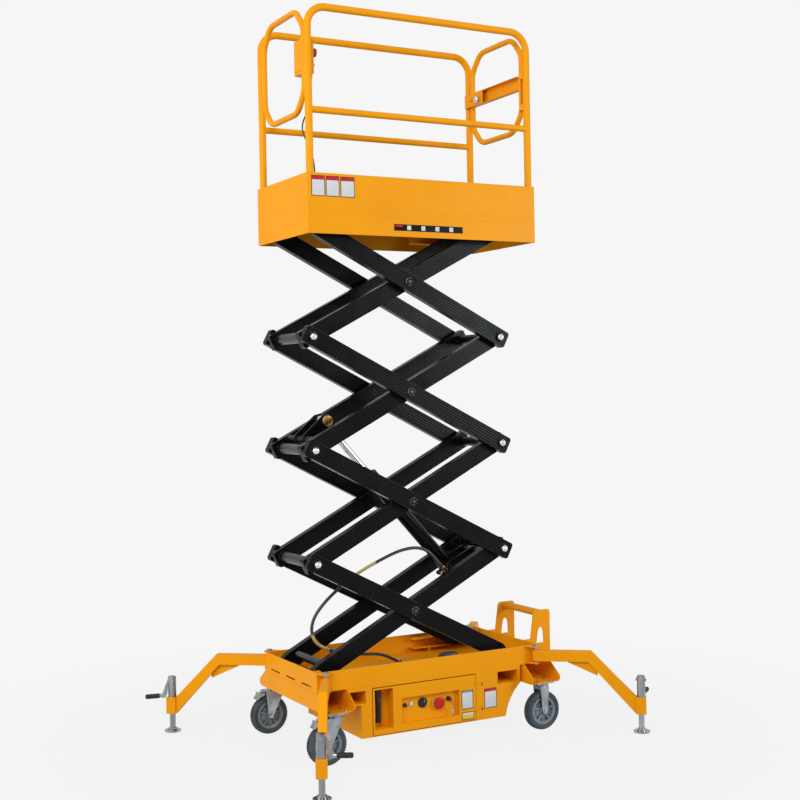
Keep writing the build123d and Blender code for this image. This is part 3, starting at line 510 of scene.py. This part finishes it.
for k in range(arms["levels"]):
    ends = bmesh.new()
    highest = k == arms["levels"] - 1
    places = [(midX, arms["side"], pinZ(k + 0.5), False)]
    places.append((leftX, arms["topSide"] if highest else arms["side"], pinZ(k + 1), True))
    if k > 0:
        places.append((rightX, arms["side"], pinZ(k), True))
    for number, (x, y, z, atEnd) in enumerate(places):
        for sign in (-1, 1):
            addPivot(ends, x, sign * y, z, 0.4 + number * 0.7 + k, atEnd)
    finish = [metals["chrome"], blackPaint, metals["satin"]]
    newPiece("pivotBolts" + str(k + 1), ends, "outer_" + str(k + 1), finish)

# bare steel sleeves round the left cross tubes
sleeve = {"radius": 0.0262, "half": 0.128, "sides": 48}
for k in (1, 2, 3):
    tube = bmesh.new()
    addLathe(tube, tubeProfile(sleeve["radius"], sleeve["half"]), (leftX, 0, pinZ(k)), (0, 1, 0), sleeve["sides"])
    newPiece("tubeSleeve" + str(k), tube, "inner_" + str(k + 1), metals["satin"])


def onArm(along, off, step=0):
    # a place along and above the middle line of an inner arm whose left pin is a number of rises up
    return (leftX + along * math.cos(armAngle) - off * math.sin(armAngle),
            pinZ(step) + along * math.sin(armAngle) + off * math.cos(armAngle))


# bare cross tube low on the lowest inner arms
lowTube = {"radius": 0.020, "half": 0.130, "along": 0.072, "off": 0.014}
baseTube = bmesh.new()
x, z = onArm(lowTube["along"], lowTube["off"])
addLathe(baseTube, tubeProfile(lowTube["radius"], lowTube["half"]), (x, 0, z), (0, 1, 0), sleeve["sides"])
newPiece("baseTube", baseTube, "inner_1", metals["satin"])
print("stage: arm pivots done")


# tyres: moulded tread blocks round the crown and shoulders
tread = {"blocks": 46, "depth": 0.0042, "radius": 0.100, "rim": 0.070, "half": 0.025, "axle": 0.100}
wheelTable = [
    # name, x, y
    ("swivel_front", -0.603, -0.345),
    ("swivel_back", -0.603, 0.345),
    ("fixed_front", 0.619, -0.345),
    ("fixed_back", 0.619, 0.345),
]
treadRows = [
    # radius, offset from the middle, shift of the blocks round the wheel
    (tread["rim"], -0.021, None), (tread["rim"] + 0.005, -0.0235, None), (tread["rim"] + 0.012, -0.0246, None),
    (0.0885, -tread["half"], None), (0.0925, -0.0232, 0), (0.0968, -0.0186, 0), (0.0988, -0.0140, 0),
    (0.0988, -0.0120, 0), (0.0962, -0.0112, None), (0.0962, -0.0088, None), (0.0992, -0.0080, 2),
    (tread["radius"], -0.0035, 2), (0.0970, -0.0028, None),
]
treadRows += [(a, -b, None if c is None else 2 - c) for a, b, c in treadRows[::-1]]


def addTyre(mesh, x, y, z):
    sides = tread["blocks"] * 4
    low = 1.0 - tread["depth"] / tread["radius"]
    rings = []
    for radius, offset, shift in treadRows:
        ring = []
        for k in range(sides):
            grow = 1.0 if shift is None or (k + shift) % 4 in (0, 1) else low
            angle = 2 * math.pi * (k + 0.5) / sides
            spot = (x + radius * grow * math.cos(angle), y + offset, z + radius * grow * math.sin(angle))
            ring.append(mesh.verts.new(spot))
        rings.append(ring)
    skin(mesh, rings + rings[:1])


for name, x, y in wheelTable:
    ring = bmesh.new()
    addTyre(ring, x, y, tread["axle"])
    made = newPiece("treadTyre_" + name, ring, "wheel_" + name, soft["tyre"], 24)
    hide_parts("tyre_" + name)

# wheel axle nuts, swivel races, mounting bolts and brake plates of the casters
casterBits = {"swivelX": -0.556, "side": 0.034, "washer": 0.0018, "nut": 0.0095, "race": 0.0362, "raceLow": 0.2252,
              "bolt": 0.0075, "boltLow": 0.250, "boltX": 0.040, "boltY": 0.030}
race = casterBits["race"]
raceProfile = [(race - 0.003, 0), (race, 0.002), (race, 0.005), (race - 0.002, 0.0065), (race, 0.008), (race, 0.012),
               (race - 0.003, 0.0145)]
brake = {"low": (-0.044, -0.024, 0.2195), "high": (-0.018, 0.024, 0.2225), "rodX": -0.060,
         "rods": (0.2076, 0.2125, 0.2174)}
for name, x, y in wheelTable:
    c = casterBits
    swivel = name.startswith("swivel")
    centreX = c["swivelX"] if swivel else x
    turning = bmesh.new()
    for sign in (-1, 1):
        way = (0, sign, 0)
        addLathe(turning, [(0.0125, 0), (0.0125, c["washer"])], (x, y + sign * c["side"], tread["axle"]), way, 28)
        addHex(turning, c["nut"], 0.0065, (x, y + sign * (c["side"] + c["washer"]), tread["axle"]), way, 0.3)
    addLathe(turning, raceProfile, (centreX, y, c["raceLow"]), (0, 0, 1), 48)
    if swivel:
        low, high = ((x + a, y + b, z) for a, b, z in (brake["low"], brake["high"]))
        addBlock(turning, low, high, 0.0008)
        for z in brake["rods"]:
            rod = [(0.0022, -0.022), (0.0026, -0.020), (0.0026, 0.020), (0.0022, 0.022)]
            addLathe(turning, rod, (x + brake["rodX"], y, z), (0, 1, 0), 12)
    newPiece("casterHardware_" + name, turning, name if swivel else "base", metals["zinc"])
    bolts = bmesh.new()
    for dx in (-c["boltX"], c["boltX"]):
        for dy in (-c["boltY"], c["boltY"]):
            addLathe(bolts, [(0.0095, 0), (0.0095, 0.0016)], (centreX + dx, y + dy, c["boltLow"]), (0, 0, 1), 24)
            addHex(bolts, c["bolt"], 0.006, (centreX + dx, y + dy, c["boltLow"] + 0.0016), (0, 0, 1), dx * 30)
    newPiece("casterBolts_" + name, bolts, "base", metals["zinc"])
print("stage: casters done")

# outriggers: hinge bolt heads, jack pins and rubber crank grips
outriggers = {
    # hinge place, way the arm points and way the crank points, degrees
    "front_right": {"hinge": (0.597, -0.336), "way": -38.7, "crank": 38.5},
    "front_left": {"hinge": (-0.597, -0.336), "way": 242.0, "crank": -28.6},
    "back_left": {"hinge": (-0.597, 0.336), "way": 141.4, "crank": 168.4},
    "back_right": {"hinge": (0.597, 0.336), "way": 50.0, "crank": 48.0},
}
jackLook = {"reach": 0.528, "headLow": 0.430, "pin": 0.266, "top": 0.282, "nutSide": 0.0205,
            "gripStart": 0.066, "gripEnd": 0.139, "gripRadius": 0.0125, "gripHeight": 0.190, "ribs": 9}
jackPin = [(0.004, -0.027), (0.0045, -0.026), (0.0045, 0.026), (0.004, 0.027)]
jackCap = [(0.0195, 0), (0.0205, 0.001), (0.0205, 0.0035), (0.017, 0.006), (0.008, 0.0075)]
g = jackLook
length, wide = g["gripEnd"] - g["gripStart"], g["gripRadius"]
gripProfile = [(0.0105, 0)]
for k in range(g["ribs"]):
    for u, r in ((0.1, wide - 0.0006), (0.3, wide), (0.7, wide), (0.9, wide - 0.0006)):
        gripProfile.append((r, 0.002 + (length - 0.008) * (k + u) / g["ribs"]))
gripProfile += [(0.0115, length - 0.004), (0.0085, length - 0.001), (0.004, length)]
heads = bmesh.new()
for name, item in outriggers.items():
    hx, hy = item["hinge"]
    addLathe(heads, [(0.0165, 0), (0.0165, 0.0018)], (hx, hy, g["headLow"]), (0, 0, 1), 32)
    addHex(heads, 0.0145, 0.0052, (hx, hy, g["headLow"] + 0.0018), (0, 0, 1), 0.5)
    way, crank = math.radians(item["way"]), math.radians(item["crank"])
    post = Vector((hx + g["reach"] * math.cos(way), hy + g["reach"] * math.sin(way), 0))
    along = Vector((math.cos(crank), math.sin(crank), 0))
    across = Vector((-math.sin(crank), math.cos(crank), 0))
    pinPlace = post + Vector((0, 0, g["pin"]))
    gripPlace = post + Vector((0, 0, g["gripHeight"]))
    grip = bmesh.new()
    addLathe(grip, gripProfile, gripPlace + along * g["gripStart"], along, 32)
    newPiece("crankGrip_" + name, grip, "outrigger_" + name, soft["rubber"])
    pins = bmesh.new()
    addLathe(pins, jackPin, pinPlace, across, 20)
    for side in (across, -across):
        addHex(pins, 0.0085, 0.005, pinPlace + side * g["nutSide"], side, 0.2)
    addLathe(pins, jackCap, post + Vector((0, 0, g["top"])), (0, 0, 1), 36)
    addHex(pins, 0.010, 0.006, gripPlace + along * 0.050 + across * 0.005, across, 0.1)
    newPiece("jackPins_" + name, pins, "outrigger_" + name, metals["jack"])
newPiece("hingeHeads", heads, "base", metals["zinc"])
print("stage: outriggers done")

# ground controls: red stop, selector, key with its fob, lamp and socket
panel = {"back": -0.282, "stop": (0.039, 0.201), "selector": (-0.047, 0.212), "key": (0.100, 0.213),
         "lamp": (-0.112, 0.212), "socket": (-0.148, 0.212)}
front = (0, -1, 0)
knobTable = [
    # place, finish, sides, radius and height pairs
    ("stop", 2, 48, [(0.0310, 0), (0.0310, 0.0015), (0.0300, 0.002)]),
    ("stop", 0, 32, [(0.015, 0.002), (0.015, 0.010)]),
    ("stop", 1, 48, [(0.020, 0.009), (0.028, 0.011), (0.0305, 0.014), (0.0305, 0.017), (0.0275, 0.0198),
                     (0.016, 0.0212), (0.004, 0.0216)]),
    ("selector", 0, 48, [(0.0265, 0), (0.0265, 0.002), (0.0245, 0.0035), (0.0215, 0.0045)]),
    ("key", 0, 36, [(0.0125, 0), (0.0125, 0.003), (0.0115, 0.0045), (0.0105, 0.005), (0.0105, 0.011),
                    (0.0095, 0.0125)]),
    ("lamp", 4, 32, [(0.0125, 0), (0.0125, 0.0025), (0.0105, 0.004)]),
    ("lamp", 3, 32, [(0.0088, 0.003), (0.0088, 0.0065), (0.0070, 0.0085), (0.003, 0.0092)]),
    ("socket", 0, 32, [(0.0105, 0), (0.0105, 0.003), (0.0090, 0.005), (0.0090, 0.012), (0.0075, 0.0138)]),
]
knobBlocks = [
    # place, finish, rounding, corners from the place
    ("selector", 0, 0.0012, (-0.0042, -0.0185, -0.0165), (0.0042, -0.012, 0.0165)),
    ("selector", 3, 0.0002, (-0.0009, -0.0189, 0.004), (0.0009, -0.0183, 0.0155)),
    ("key", 4, 0.0004, (-0.0012, -0.019, -0.006), (0.0012, -0.012, 0.006)),
    ("key", 4, 0.0008, (0.004, -0.028, -0.074), (0.016, -0.025, -0.050)),
]
knobs = bmesh.new()
for where, finish, sides, profile in knobTable:
    x, z = panel[where]
    addLathe(knobs, profile, (x, panel["back"], z), front, sides, finish)
for where, finish, edge, *ends in knobBlocks:
    x, z = panel[where]
    low, high = ((x + a, panel["back"] + b, z + c) for a, b, c in ends)
    addBlock(knobs, low, high, edge, finish)
x, z = panel["selector"]
turner = [(0.0195, 0.004), (0.0185, 0.011), (0.0165, 0.013)]
addLathe(knobs, turner, (x, panel["back"], z), front, 40, 0, 0.0, notched(0.965))
x, z = panel["key"]
addLathe(knobs, [(0.0115, -0.001), (0.0115, 0.001)], (x, panel["back"] - 0.027, z), (1, 0, 0), 28, 4)
addLathe(knobs, [(0.0015, 0), (0.0015, 0.046)], (x + 0.004, panel["back"] - 0.026, z - 0.008), (0.12, 0, -1), 10, 4)
finish = [soft["plastic"], soft["red"], soft["yellow"], soft["white"], metals["zinc"]]
made = newPiece("groundKnobs", knobs, "door", finish, 40)
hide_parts("ground_controls")

# charging plug in its clip, with a ribbed handle
plugAt = {"x": -0.285, "y": -0.266, "low": 0.150, "back": -0.244, "ribs": 7, "pitch": 0.008}
plugClips = [
    # half width, low, high, rounding
    (0.015, 0.262, 0.300, 0.004),
    (0.011, 0.140, 0.160, 0.003),
]
plug = bmesh.new()
x, y = plugAt["x"], plugAt["y"]
profile = [(0.0075, -0.004), (0.0098, 0), (0.0105, 0.006)]
for k in range(plugAt["ribs"]):
    profile += [(r, z + k * plugAt["pitch"])
                for r, z in ((0.0130, 0.010), (0.0130, 0.0135), (0.0115, 0.0145), (0.0115, 0.0175))]
profile += [(0.0125, 0.068), (0.0145, 0.078), (0.0150, 0.098), (0.0140, 0.112), (0.0110, 0.122)]
addLathe(plug, profile, (x, y, plugAt["low"]), (0, 0, 1), 36)
for half, low, high, edge in plugClips:
    addBlock(plug, (x - half, y - 0.008, low), (x + half, plugAt["back"], high), edge)
addLathe(plug, [(0.008, 0), (0.008, 0.008), (0.0065, 0.010)], (x + 0.009, y - 0.006, 0.281), (0.6, -1, 0), 24, 1)
made = newPiece("plugAndClip", plug, "door", [soft["rubber"], soft["red"]], 40)
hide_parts("charging_plug")

# let-in hinge leaves beside the door, drawn as dark lines of painted shade along their top and outer end, each with its
# screw
hingeLook = {"face": -0.306, "from": 0.243, "to": 0.287, "line": 0.0016, "leaf": 0.012, "sunk": 0.0005,
             "heights": (0.264, 0.140)}
screw = [(0.0050, 0), (0.0050, 0.001), (0.003, 0.0018)]
leaves = bmesh.new()
h = hingeLook
sunk, to = h["face"] - h["sunk"], h["to"]
for z in h["heights"]:
    top = z + h["leaf"]
    addBlock(leaves, (h["from"], sunk, top - h["line"]), (to, h["face"], top), 0.0001)
    addBlock(leaves, (to - h["line"], sunk, z), (to, h["face"], top), 0.0001)
    addLathe(leaves, screw, (to - 0.001, h["face"], z), front, 20, 1)
newPiece("hingeLeaves", leaves, "base", [soft["shade"], soft["plastic"]])

# black fuse block on the inside of the tray's front wall, with caps along its top
fuseLook = {"low": (0.058, -0.299, 0.392), "high": (0.154, -0.268, 0.440), "caps": 5, "pitch": 0.016, "cap": 0.008}
fuseBlock = bmesh.new()
addBlock(fuseBlock, fuseLook["low"], fuseLook["high"], 0.004)
for k in range(fuseLook["caps"]):
    x = 0.070 + k * fuseLook["pitch"]
    addBlock(fuseBlock, (x, -0.297, 0.436), (x + fuseLook["cap"], -0.270, 0.446), 0.002)
newPiece("fuseBlock", fuseBlock, "base", soft["plastic"])
print("stage: controls done")


# blank sign plates: a dark border, a pale field and a coloured band along the top
signLook = {"border": 0.0036, "thick": 0.0006, "step": 0.0003, "platform": -0.303, "base": -0.306, "door": -0.306}
signTable = [
    # name, body, low x, high x, low z, high z, band, band from, field
    ("signLeft", "platform", -0.606, -0.535, 2.680, 2.778, "red", 2.757, "white"),
    ("signMiddle", "platform", -0.530, -0.459, 2.680, 2.778, "red", 2.757, "white"),
    ("signRight", "platform", -0.453, -0.378, 2.680, 2.778, "red", 2.757, "white"),
    ("signDoor", "door", 0.164, 0.232, 0.152, 0.246, "grey", 0.234, "white"),
    ("signDoorLow", "door", 0.164, 0.236, 0.098, 0.137, "white", 0.124, "yellow"),
    ("signBox", "base", 0.298, 0.372, 0.140, 0.240, "red", 0.224, "white"),
]
for name, body, lowX, highX, lowZ, highZ, band, bandAt, field in signTable:
    plate = bmesh.new()
    y, b, t, step = signLook[body], signLook["border"], signLook["thick"], signLook["step"]
    addBlock(plate, (lowX, y - t, lowZ), (highX, y, highZ), 0.0002, 0)
    addBlock(plate, (lowX + b, y - t - step, lowZ + b), (highX - b, y - t + step, bandAt), 0.0001, 1)
    addBlock(plate, (lowX + b, y - t - step, bandAt), (highX - b, y - t + step, highZ - b), 0.0001, 2)
    newPiece(name, plate, body, [soft["border"], soft[field], soft[band]])

# dark strip under the toe board's signs, with a red end and four pale squares
squares = {"from": -0.094, "pitch": 0.080, "wide": 0.022, "count": 4}
strip = bmesh.new()
addBlock(strip, (-0.166, -0.3036, 2.533), (0.224, -0.303, 2.565), 0.0002, 0)
addBlock(strip, (-0.160, -0.3040, 2.552), (-0.120, -0.3034, 2.561), 0.0001, 1)
for k in range(squares["count"]):
    x = squares["from"] + k * squares["pitch"]
    addBlock(strip, (x, -0.3040, 2.538), (x + squares["wide"], -0.3034, 2.560), 0.0001, 2)
newPiece("signStrip", strip, "platform", [soft["ink"], soft["red"], soft["white"]])
print("stage: blank signs done")

# platform control box: stop button, toggle row, lid screws and cable gland
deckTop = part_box("platform_deck")[1][2]
liftBox = {"left": -0.584, "right": -0.530, "front": -0.196, "back": -0.088, "low": deckTop + 0.644,
           "high": deckTop + 0.809, "stop": (-0.168, 0.105), "toggles": 3, "pitch": 0.028, "inset": 0.008}
boxStop = [
    # finish, sides, radius and height pairs
    (1, 40, [(0.0225, 0), (0.0225, 0.002)]),
    (0, 40, [(0.0205, 0.009), (0.0215, 0.012), (0.0215, 0.018), (0.019, 0.0215), (0.010, 0.0232), (0.003, 0.0236)]),
    (2, 32, [(0.0212, 0.002), (0.0212, 0.009)]),
]
toggle = [(0.009, 0), (0.009, 0.003), (0.006, 0.0045), (0.0035, 0.006), (0.0035, 0.016), (0.002, 0.018)]
lidScrew = [(0.0035, 0), (0.0035, 0.001), (0.002, 0.0018)]
outward = (1, 0, 0)
boxBits = bmesh.new()
b = liftBox
for finish, sides, profile in boxStop:
    addLathe(boxBits, profile, (b["right"], b["stop"][0], b["low"] + b["stop"][1]), outward, sides, finish)
for k in range(b["toggles"]):
    addLathe(boxBits, toggle, (b["right"], b["front"] + 0.026 + k * b["pitch"], b["low"] + 0.045), outward, 24, 3)
for y in (b["front"] + b["inset"], b["back"] - b["inset"]):
    for z in (b["low"] + b["inset"], b["high"] - b["inset"]):
        addLathe(boxBits, lidScrew, (b["right"], y, z), outward, 16, 3)
finish = [soft["red"], soft["yellow"], soft["plastic"], metals["zinc"]]
newPiece("boxControls", boxBits, "platform", finish, 40)
gland = {"x": b["left"] + 0.041, "y": -0.178, "sides": 12,
         "profile": [(0.0118, 0), (0.0118, 0.009), (0.0105, 0.010), (0.0105, 0.014), (0.0075, 0.0232)]}
glandBits = bmesh.new()
addLathe(glandBits, gland["profile"], (gland["x"], gland["y"], b["low"]), (0, 0, -1), gland["sides"])
newPiece("boxGland", glandBits, "platform", soft["plastic"])

# gate latch: a spring bolt with a round pull knob, on the gate's bracket plate
latch = {"place": (0.6115, 0.138, 3.325),
         "profile": [(0.0085, 0), (0.0085, 0.011), (0.0155, 0.013), (0.0185, 0.016), (0.0185, 0.020), (0.0150, 0.024),
                     (0.006, 0.026)]}
gateBits = bmesh.new()
addLathe(gateBits, latch["profile"], latch["place"], (-1, 0, 0), 36)
newPiece("gateLatch", gateBits, "gate", metals["chrome"])

# brass caps on the pin through the rod's eye
eyeCap = {"along": 0.201, "off": 0.050, "side": 0.052,
          "profile": [(0.0275, 0), (0.0275, 0.0076), (0.0250, 0.0090), (0.006, 0.0092)]}
caps = bmesh.new()
eyeX, eyeZ = onArm(eyeCap["along"], eyeCap["off"], 2)
for sign in (-1, 1):
    addLathe(caps, eyeCap["profile"], (eyeX, sign * eyeCap["side"], eyeZ), (0, sign, 0), 40)
newPiece("eyeCaps", caps, "inner_3", metals["brass"])

# tank breather and filler on the back of the tray
filler = {"place": (0.565, 0.262, 0.4135),
          "profile": [(0.010, 0), (0.010, 0.010), (0.017, 0.012), (0.0185, 0.016), (0.0185, 0.030), (0.016, 0.034),
                      (0.006, 0.036)]}
breather = bmesh.new()
addLathe(breather, filler["profile"], filler["place"], (0, 0, 1), 32, 0, 0.0, notched(0.97))
newPiece("tankBreather", breather, "base", soft["beige"], 40)
print("stage: platform and tray trim done")


# cords: the same route points as the solids, smooth through them
def cordCurve(name, points, radius, body, material):
    curve = bpy.data.curves.new(name, "CURVE")
    curve.dimensions = "3D"
    line = curve.splines.new("NURBS")
    line.points.add(len(points) - 1)
    for point, place in zip(line.points, points):
        point.co = (*place, 1)
    line.order_u = 3
    line.use_endpoint_u = True
    line.resolution_u = 10
    curve.bevel_depth = radius
    curve.bevel_resolution = 5
    curve.use_fill_caps = True
    curve.materials.append(material)
    thing = bpy.data.objects.new(name, curve)
    bpy.context.scene.collection.objects.link(thing)
    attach(thing, body)
    return thing


hoseRadius = 0.008
# the port stands beside the cylinder's foot pin, off the arm's line
port = {"foot": 966, "back": 48, "down": 30, "side": -0.034}
portAlong = port["foot"] - port["back"] * math.cos(armAngle) - port["down"] * math.sin(armAngle)
portOff = -port["down"] * math.cos(armAngle) + port["back"] * math.sin(armAngle)
liftLead = [
    # along and off from the port, y
    (0, 0, -50), (0, 0, -78), (-4, 12, -103), (-12, 33, -119.5), (-26, 72, -124),
]
liftTable = [
    # along and off the lowest inner arm, y
    (871.2, 105.9, -124.0), (860.1, 152.1, -124.0), (836.5, 198.0, -124.0), (790.9, 236.1, -124.0),
    (721.4, 262.9, -124.0), (658.9, 274.8, -124.0), (589.7, 282.3, -123.0), (518.7, 288.5, -122.0),
    (438.6, 290.4, -121.0), (358.5, 283.3, -120.0), (287.7, 272.5, -120.0), (219.5, 255.9, -119.0),
    (154.3, 227.6, -117.0), (114.9, 186.0, -115.0), (103.2, 141.4, -113.0), (109.4, 101.1, -110.0),
    (127.8, 66.9, -107.0), (148.5, 41.6, -105.0),
]
liftRoute = []
for along, off, y in [(portAlong + u, portOff + n, y) for u, n, y in liftLead] + liftTable:
    x, z = onArm(along / 1000, off / 1000)
    liftRoute.append((x, y / 1000, z))
liftHose = cordCurve("pressureHose", liftRoute, hoseRadius, "inner_1", hoseFinish)
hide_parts("lift_hose")

trayTable = [
    # x, y, z
    (-428, -76, 361), (-428, -76, 392), (-412, -76, 420), (-384, -75, 439), (-350, -73, 446), (-312, -70, 444.5),
    (-270, -66, 441), (-228, -61, 434.5), (-190, -55, 431), (-156, -48, 424), (-122, -38, 412), (-90, -27, 397),
    (-60, -15, 381), (-30, -4, 366),
]
trayRoute = [tuple(v / 1000 for v in point) for point in trayTable]
trayHose = cordCurve("trayHose", trayRoute, hoseRadius, "base", cableFinish)
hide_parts("tray_hose")

postFoot = (-0.6015, -0.280, deckTop)
cableTable = [
    # x, y, z from the foot of the front left post
    (58.5, 102, 621), (58.5, 102, 564), (52.5, 96, 504), (34, 89, 454), (8, 79, 412), (-5.5, 67, 371),
    (2.5, 65, 337), (17.5, 60, 305), (33.5, 52, 261), (43.5, 45, 207), (45.5, 39, 147), (43.5, 35, 92),
    (41, 34, 50), (41, 34, 10),
]
cableRoute = [tuple(foot + v / 1000 for foot, v in zip(postFoot, point)) for point in cableTable]
controlCable = cordCurve("controlCable", cableRoute, 0.0035, "platform", cableFinish)
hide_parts("control_cable")


def splinePoints(curveThing):
    # the smooth line of a hose, read back from its spline
    bare = curveThing.data.copy()
    bare.bevel_depth = 0
    thing = bpy.data.objects.new("bareLine", bare)
    mesh = bpy.data.meshes.new_from_object(thing)
    points = [v.co.copy() for v in mesh.vertices]
    bpy.data.objects.remove(thing)
    bpy.data.meshes.remove(mesh)
    bpy.data.curves.remove(bare)
    return points


def addSleeve(mesh, points, radii, sides=24):
    # a turned sleeve that bends with the hose; one radius for each point
    rings = []
    for k, (point, radius) in enumerate(zip(points, radii)):
        way = (points[min(k + 1, len(points) - 1)] - points[max(k - 1, 0)]).normalized()
        turn = turnTo(way)
        turns = [2 * math.pi * j / sides for j in range(sides)]
        rings.append([mesh.verts.new(point + turn @ Vector((radius * math.cos(a), radius * math.sin(a), 0)))
                      for a in turns])
    skin(mesh, rings)
    mesh.faces.new(rings[0][::-1])
    mesh.faces.new(rings[-1])


hoseSleeve = {"start": 0.030, "length": 0.095, "radius": 0.0104, "edge": 0.001}
line = splinePoints(liftHose)
gone, kept = 0.0, []
for before, after in zip(line, line[1:]):
    gone += (after - before).length
    if hoseSleeve["start"] < gone < hoseSleeve["start"] + hoseSleeve["length"]:
        kept.append(after)
sleeveMesh = bmesh.new()
radii = [hoseSleeve["radius"]] * len(kept)
radii[0] = radii[-1] = hoseSleeve["radius"] - hoseSleeve["edge"]
addSleeve(sleeveMesh, kept, radii)
newPiece("hoseSleeve", sleeveMesh, "inner_1", metals["sleeve"])


def endOf(route):
    # a hose's last point and the way it runs there
    end = Vector(route[-1])
    return end, (end - Vector(route[-2])).normalized()


# crimped ferrules and nuts where the hoses end
ferrule = [(0.0105, 0), (0.0126, 0.001), (0.0126, 0.006), (0.0121, 0.007), (0.0126, 0.008), (0.0126, 0.013),
           (0.0121, 0.014), (0.0126, 0.015), (0.0126, 0.020)]
ferrules = bmesh.new()
end, way = endOf(liftRoute)
addLathe(ferrules, ferrule, end, way, 36)
addHex(ferrules, 0.0148, 0.0065, end + way * ferrule[-1][1], way)
newPiece("armFerrule", ferrules, "inner_1", metals["zinc"])
portBits = bmesh.new()
portX, portZ = onArm(portAlong / 1000, portOff / 1000)
addHex(portBits, 0.0150, 0.014, (portX, port["side"], portZ), (0, -1, 0))
newPiece("portNut", portBits, "barrel", metals["brass"])
trayBits = bmesh.new()
end, way = endOf(trayRoute)
addHex(trayBits, 0.0145, 0.012, end + way * 0.004, way)
addHex(trayBits, 0.0142, 0.008, (-0.428, -0.076, 0.3515), (0, 0, 1))
newPiece("trayFittings", trayBits, "base", metals["satin"])
print("stage: hoses and cable done")

# floor, world and soft studio lights
studio = {"paper": 0.922, "fill": 0.45, "floor": 0.50, "near": 0.93, "fadeFrom": 1.2, "fadeTo": 2.8, "glossy": 0.55,
          "radius": 30, "sunk": 0.0005}


def grey(value):
    return (value, value, value, 1)


def mixShaders(tree, factor, first, second, end):
    mixed = nodeOf(tree, "ShaderNodeMixShader")
    for socket, source in zip(mixed.inputs, (factor, first.outputs[0], second.outputs[0])):
        tree.links.new(source, socket)
    tree.links.new(mixed.outputs[0], end.inputs["Surface"])


ground = bmesh.new()
bmesh.ops.create_circle(ground, cap_ends=True, segments=96, radius=studio["radius"])
floorMesh = bpy.data.meshes.new("floor")
ground.to_mesh(floorMesh)
ground.free()
floor = bpy.data.objects.new("floor", floorMesh)
bpy.context.scene.collection.objects.link(floor)
floor.location.z = -studio["sunk"]

# matt paper that glows for the camera and for reflections, a little less near the machine
paper, tree, shader, spot = startMaterial("paperFloor")
shader.inputs["Base Color"].default_value = grey(studio["floor"])
shader.inputs["Roughness"].default_value = 0.9
shader.inputs["Specular IOR Level"].default_value = 0.1
glow = nodeOf(tree, "ShaderNodeEmission")
glow.inputs["Color"].default_value = grey(studio["paper"])
far = nodeOf(tree, "ShaderNodeVectorMath", operation="LENGTH")
tree.links.new(spot, far.inputs[0])
fade = rangeOf(tree, far.outputs["Value"], studio["fadeFrom"], studio["fadeTo"], studio["near"], 1.0)
rays = nodeOf(tree, "ShaderNodeLightPath").outputs
seen = mathOf(tree, "ADD", rays["Is Camera Ray"], rays["Is Glossy Ray"], True)
mixShaders(tree, mathOf(tree, "MULTIPLY", fade, seen), shader, glow, tree.nodes["Material Output"])
floorMesh.materials.append(paper)

# the world lights with the fill, and shows the camera the paper's own white
world = bpy.data.worlds.new("studio")
bpy.context.scene.world = world
world.use_nodes = True
tree = world.node_tree
lit = tree.nodes["Background"]
lit.inputs["Color"].default_value = grey(1)
lit.inputs["Strength"].default_value = studio["fill"]
wall = nodeOf(tree, "ShaderNodeBackground")
wall.inputs["Color"].default_value = grey(studio["paper"])
rays = nodeOf(tree, "ShaderNodeLightPath").outputs
straight = mathOf(tree, "ADD", rays["Is Camera Ray"], rays["Is Transmission Ray"], True)
mirrored = mathOf(tree, "MULTIPLY", rays["Is Glossy Ray"], studio["glossy"])
mixShaders(tree, mathOf(tree, "ADD", straight, mirrored, True), lit, wall, tree.nodes["World Output"])

lampTable = [
    # name, place, target, size, watts, colour
    ("keyLamp", (-4.2, -5.0, 5.6), (0, 0, 1.6), 3.2, 245, (1, 1, 1)),
    ("frontLamp", (4.7, -5.2, 2.7), (0, 0, 1.9), 2.3, 180, (0.86, 0.94, 1.0)),
    ("leftLamp", (-5.5, 0.5, 2.4), (0, 0, 1.5), 3.0, 125, (1, 1, 1)),
]
for name, place, target, size, watts, colour in lampTable:
    lamp = bpy.data.lights.new(name, "AREA")
    lamp.energy = watts
    lamp.color = colour
    lamp.size = size
    thing = bpy.data.objects.new(name, lamp)
    thing.location = place
    thing.rotation_euler = (Vector(place) - Vector(target)).to_track_quat("Z", "Y").to_euler()
    bpy.context.scene.collection.objects.link(thing)
bpy.context.scene.view_settings.view_transform = "Standard"
print("stage: studio done")

bpy.context.view_layer.update()
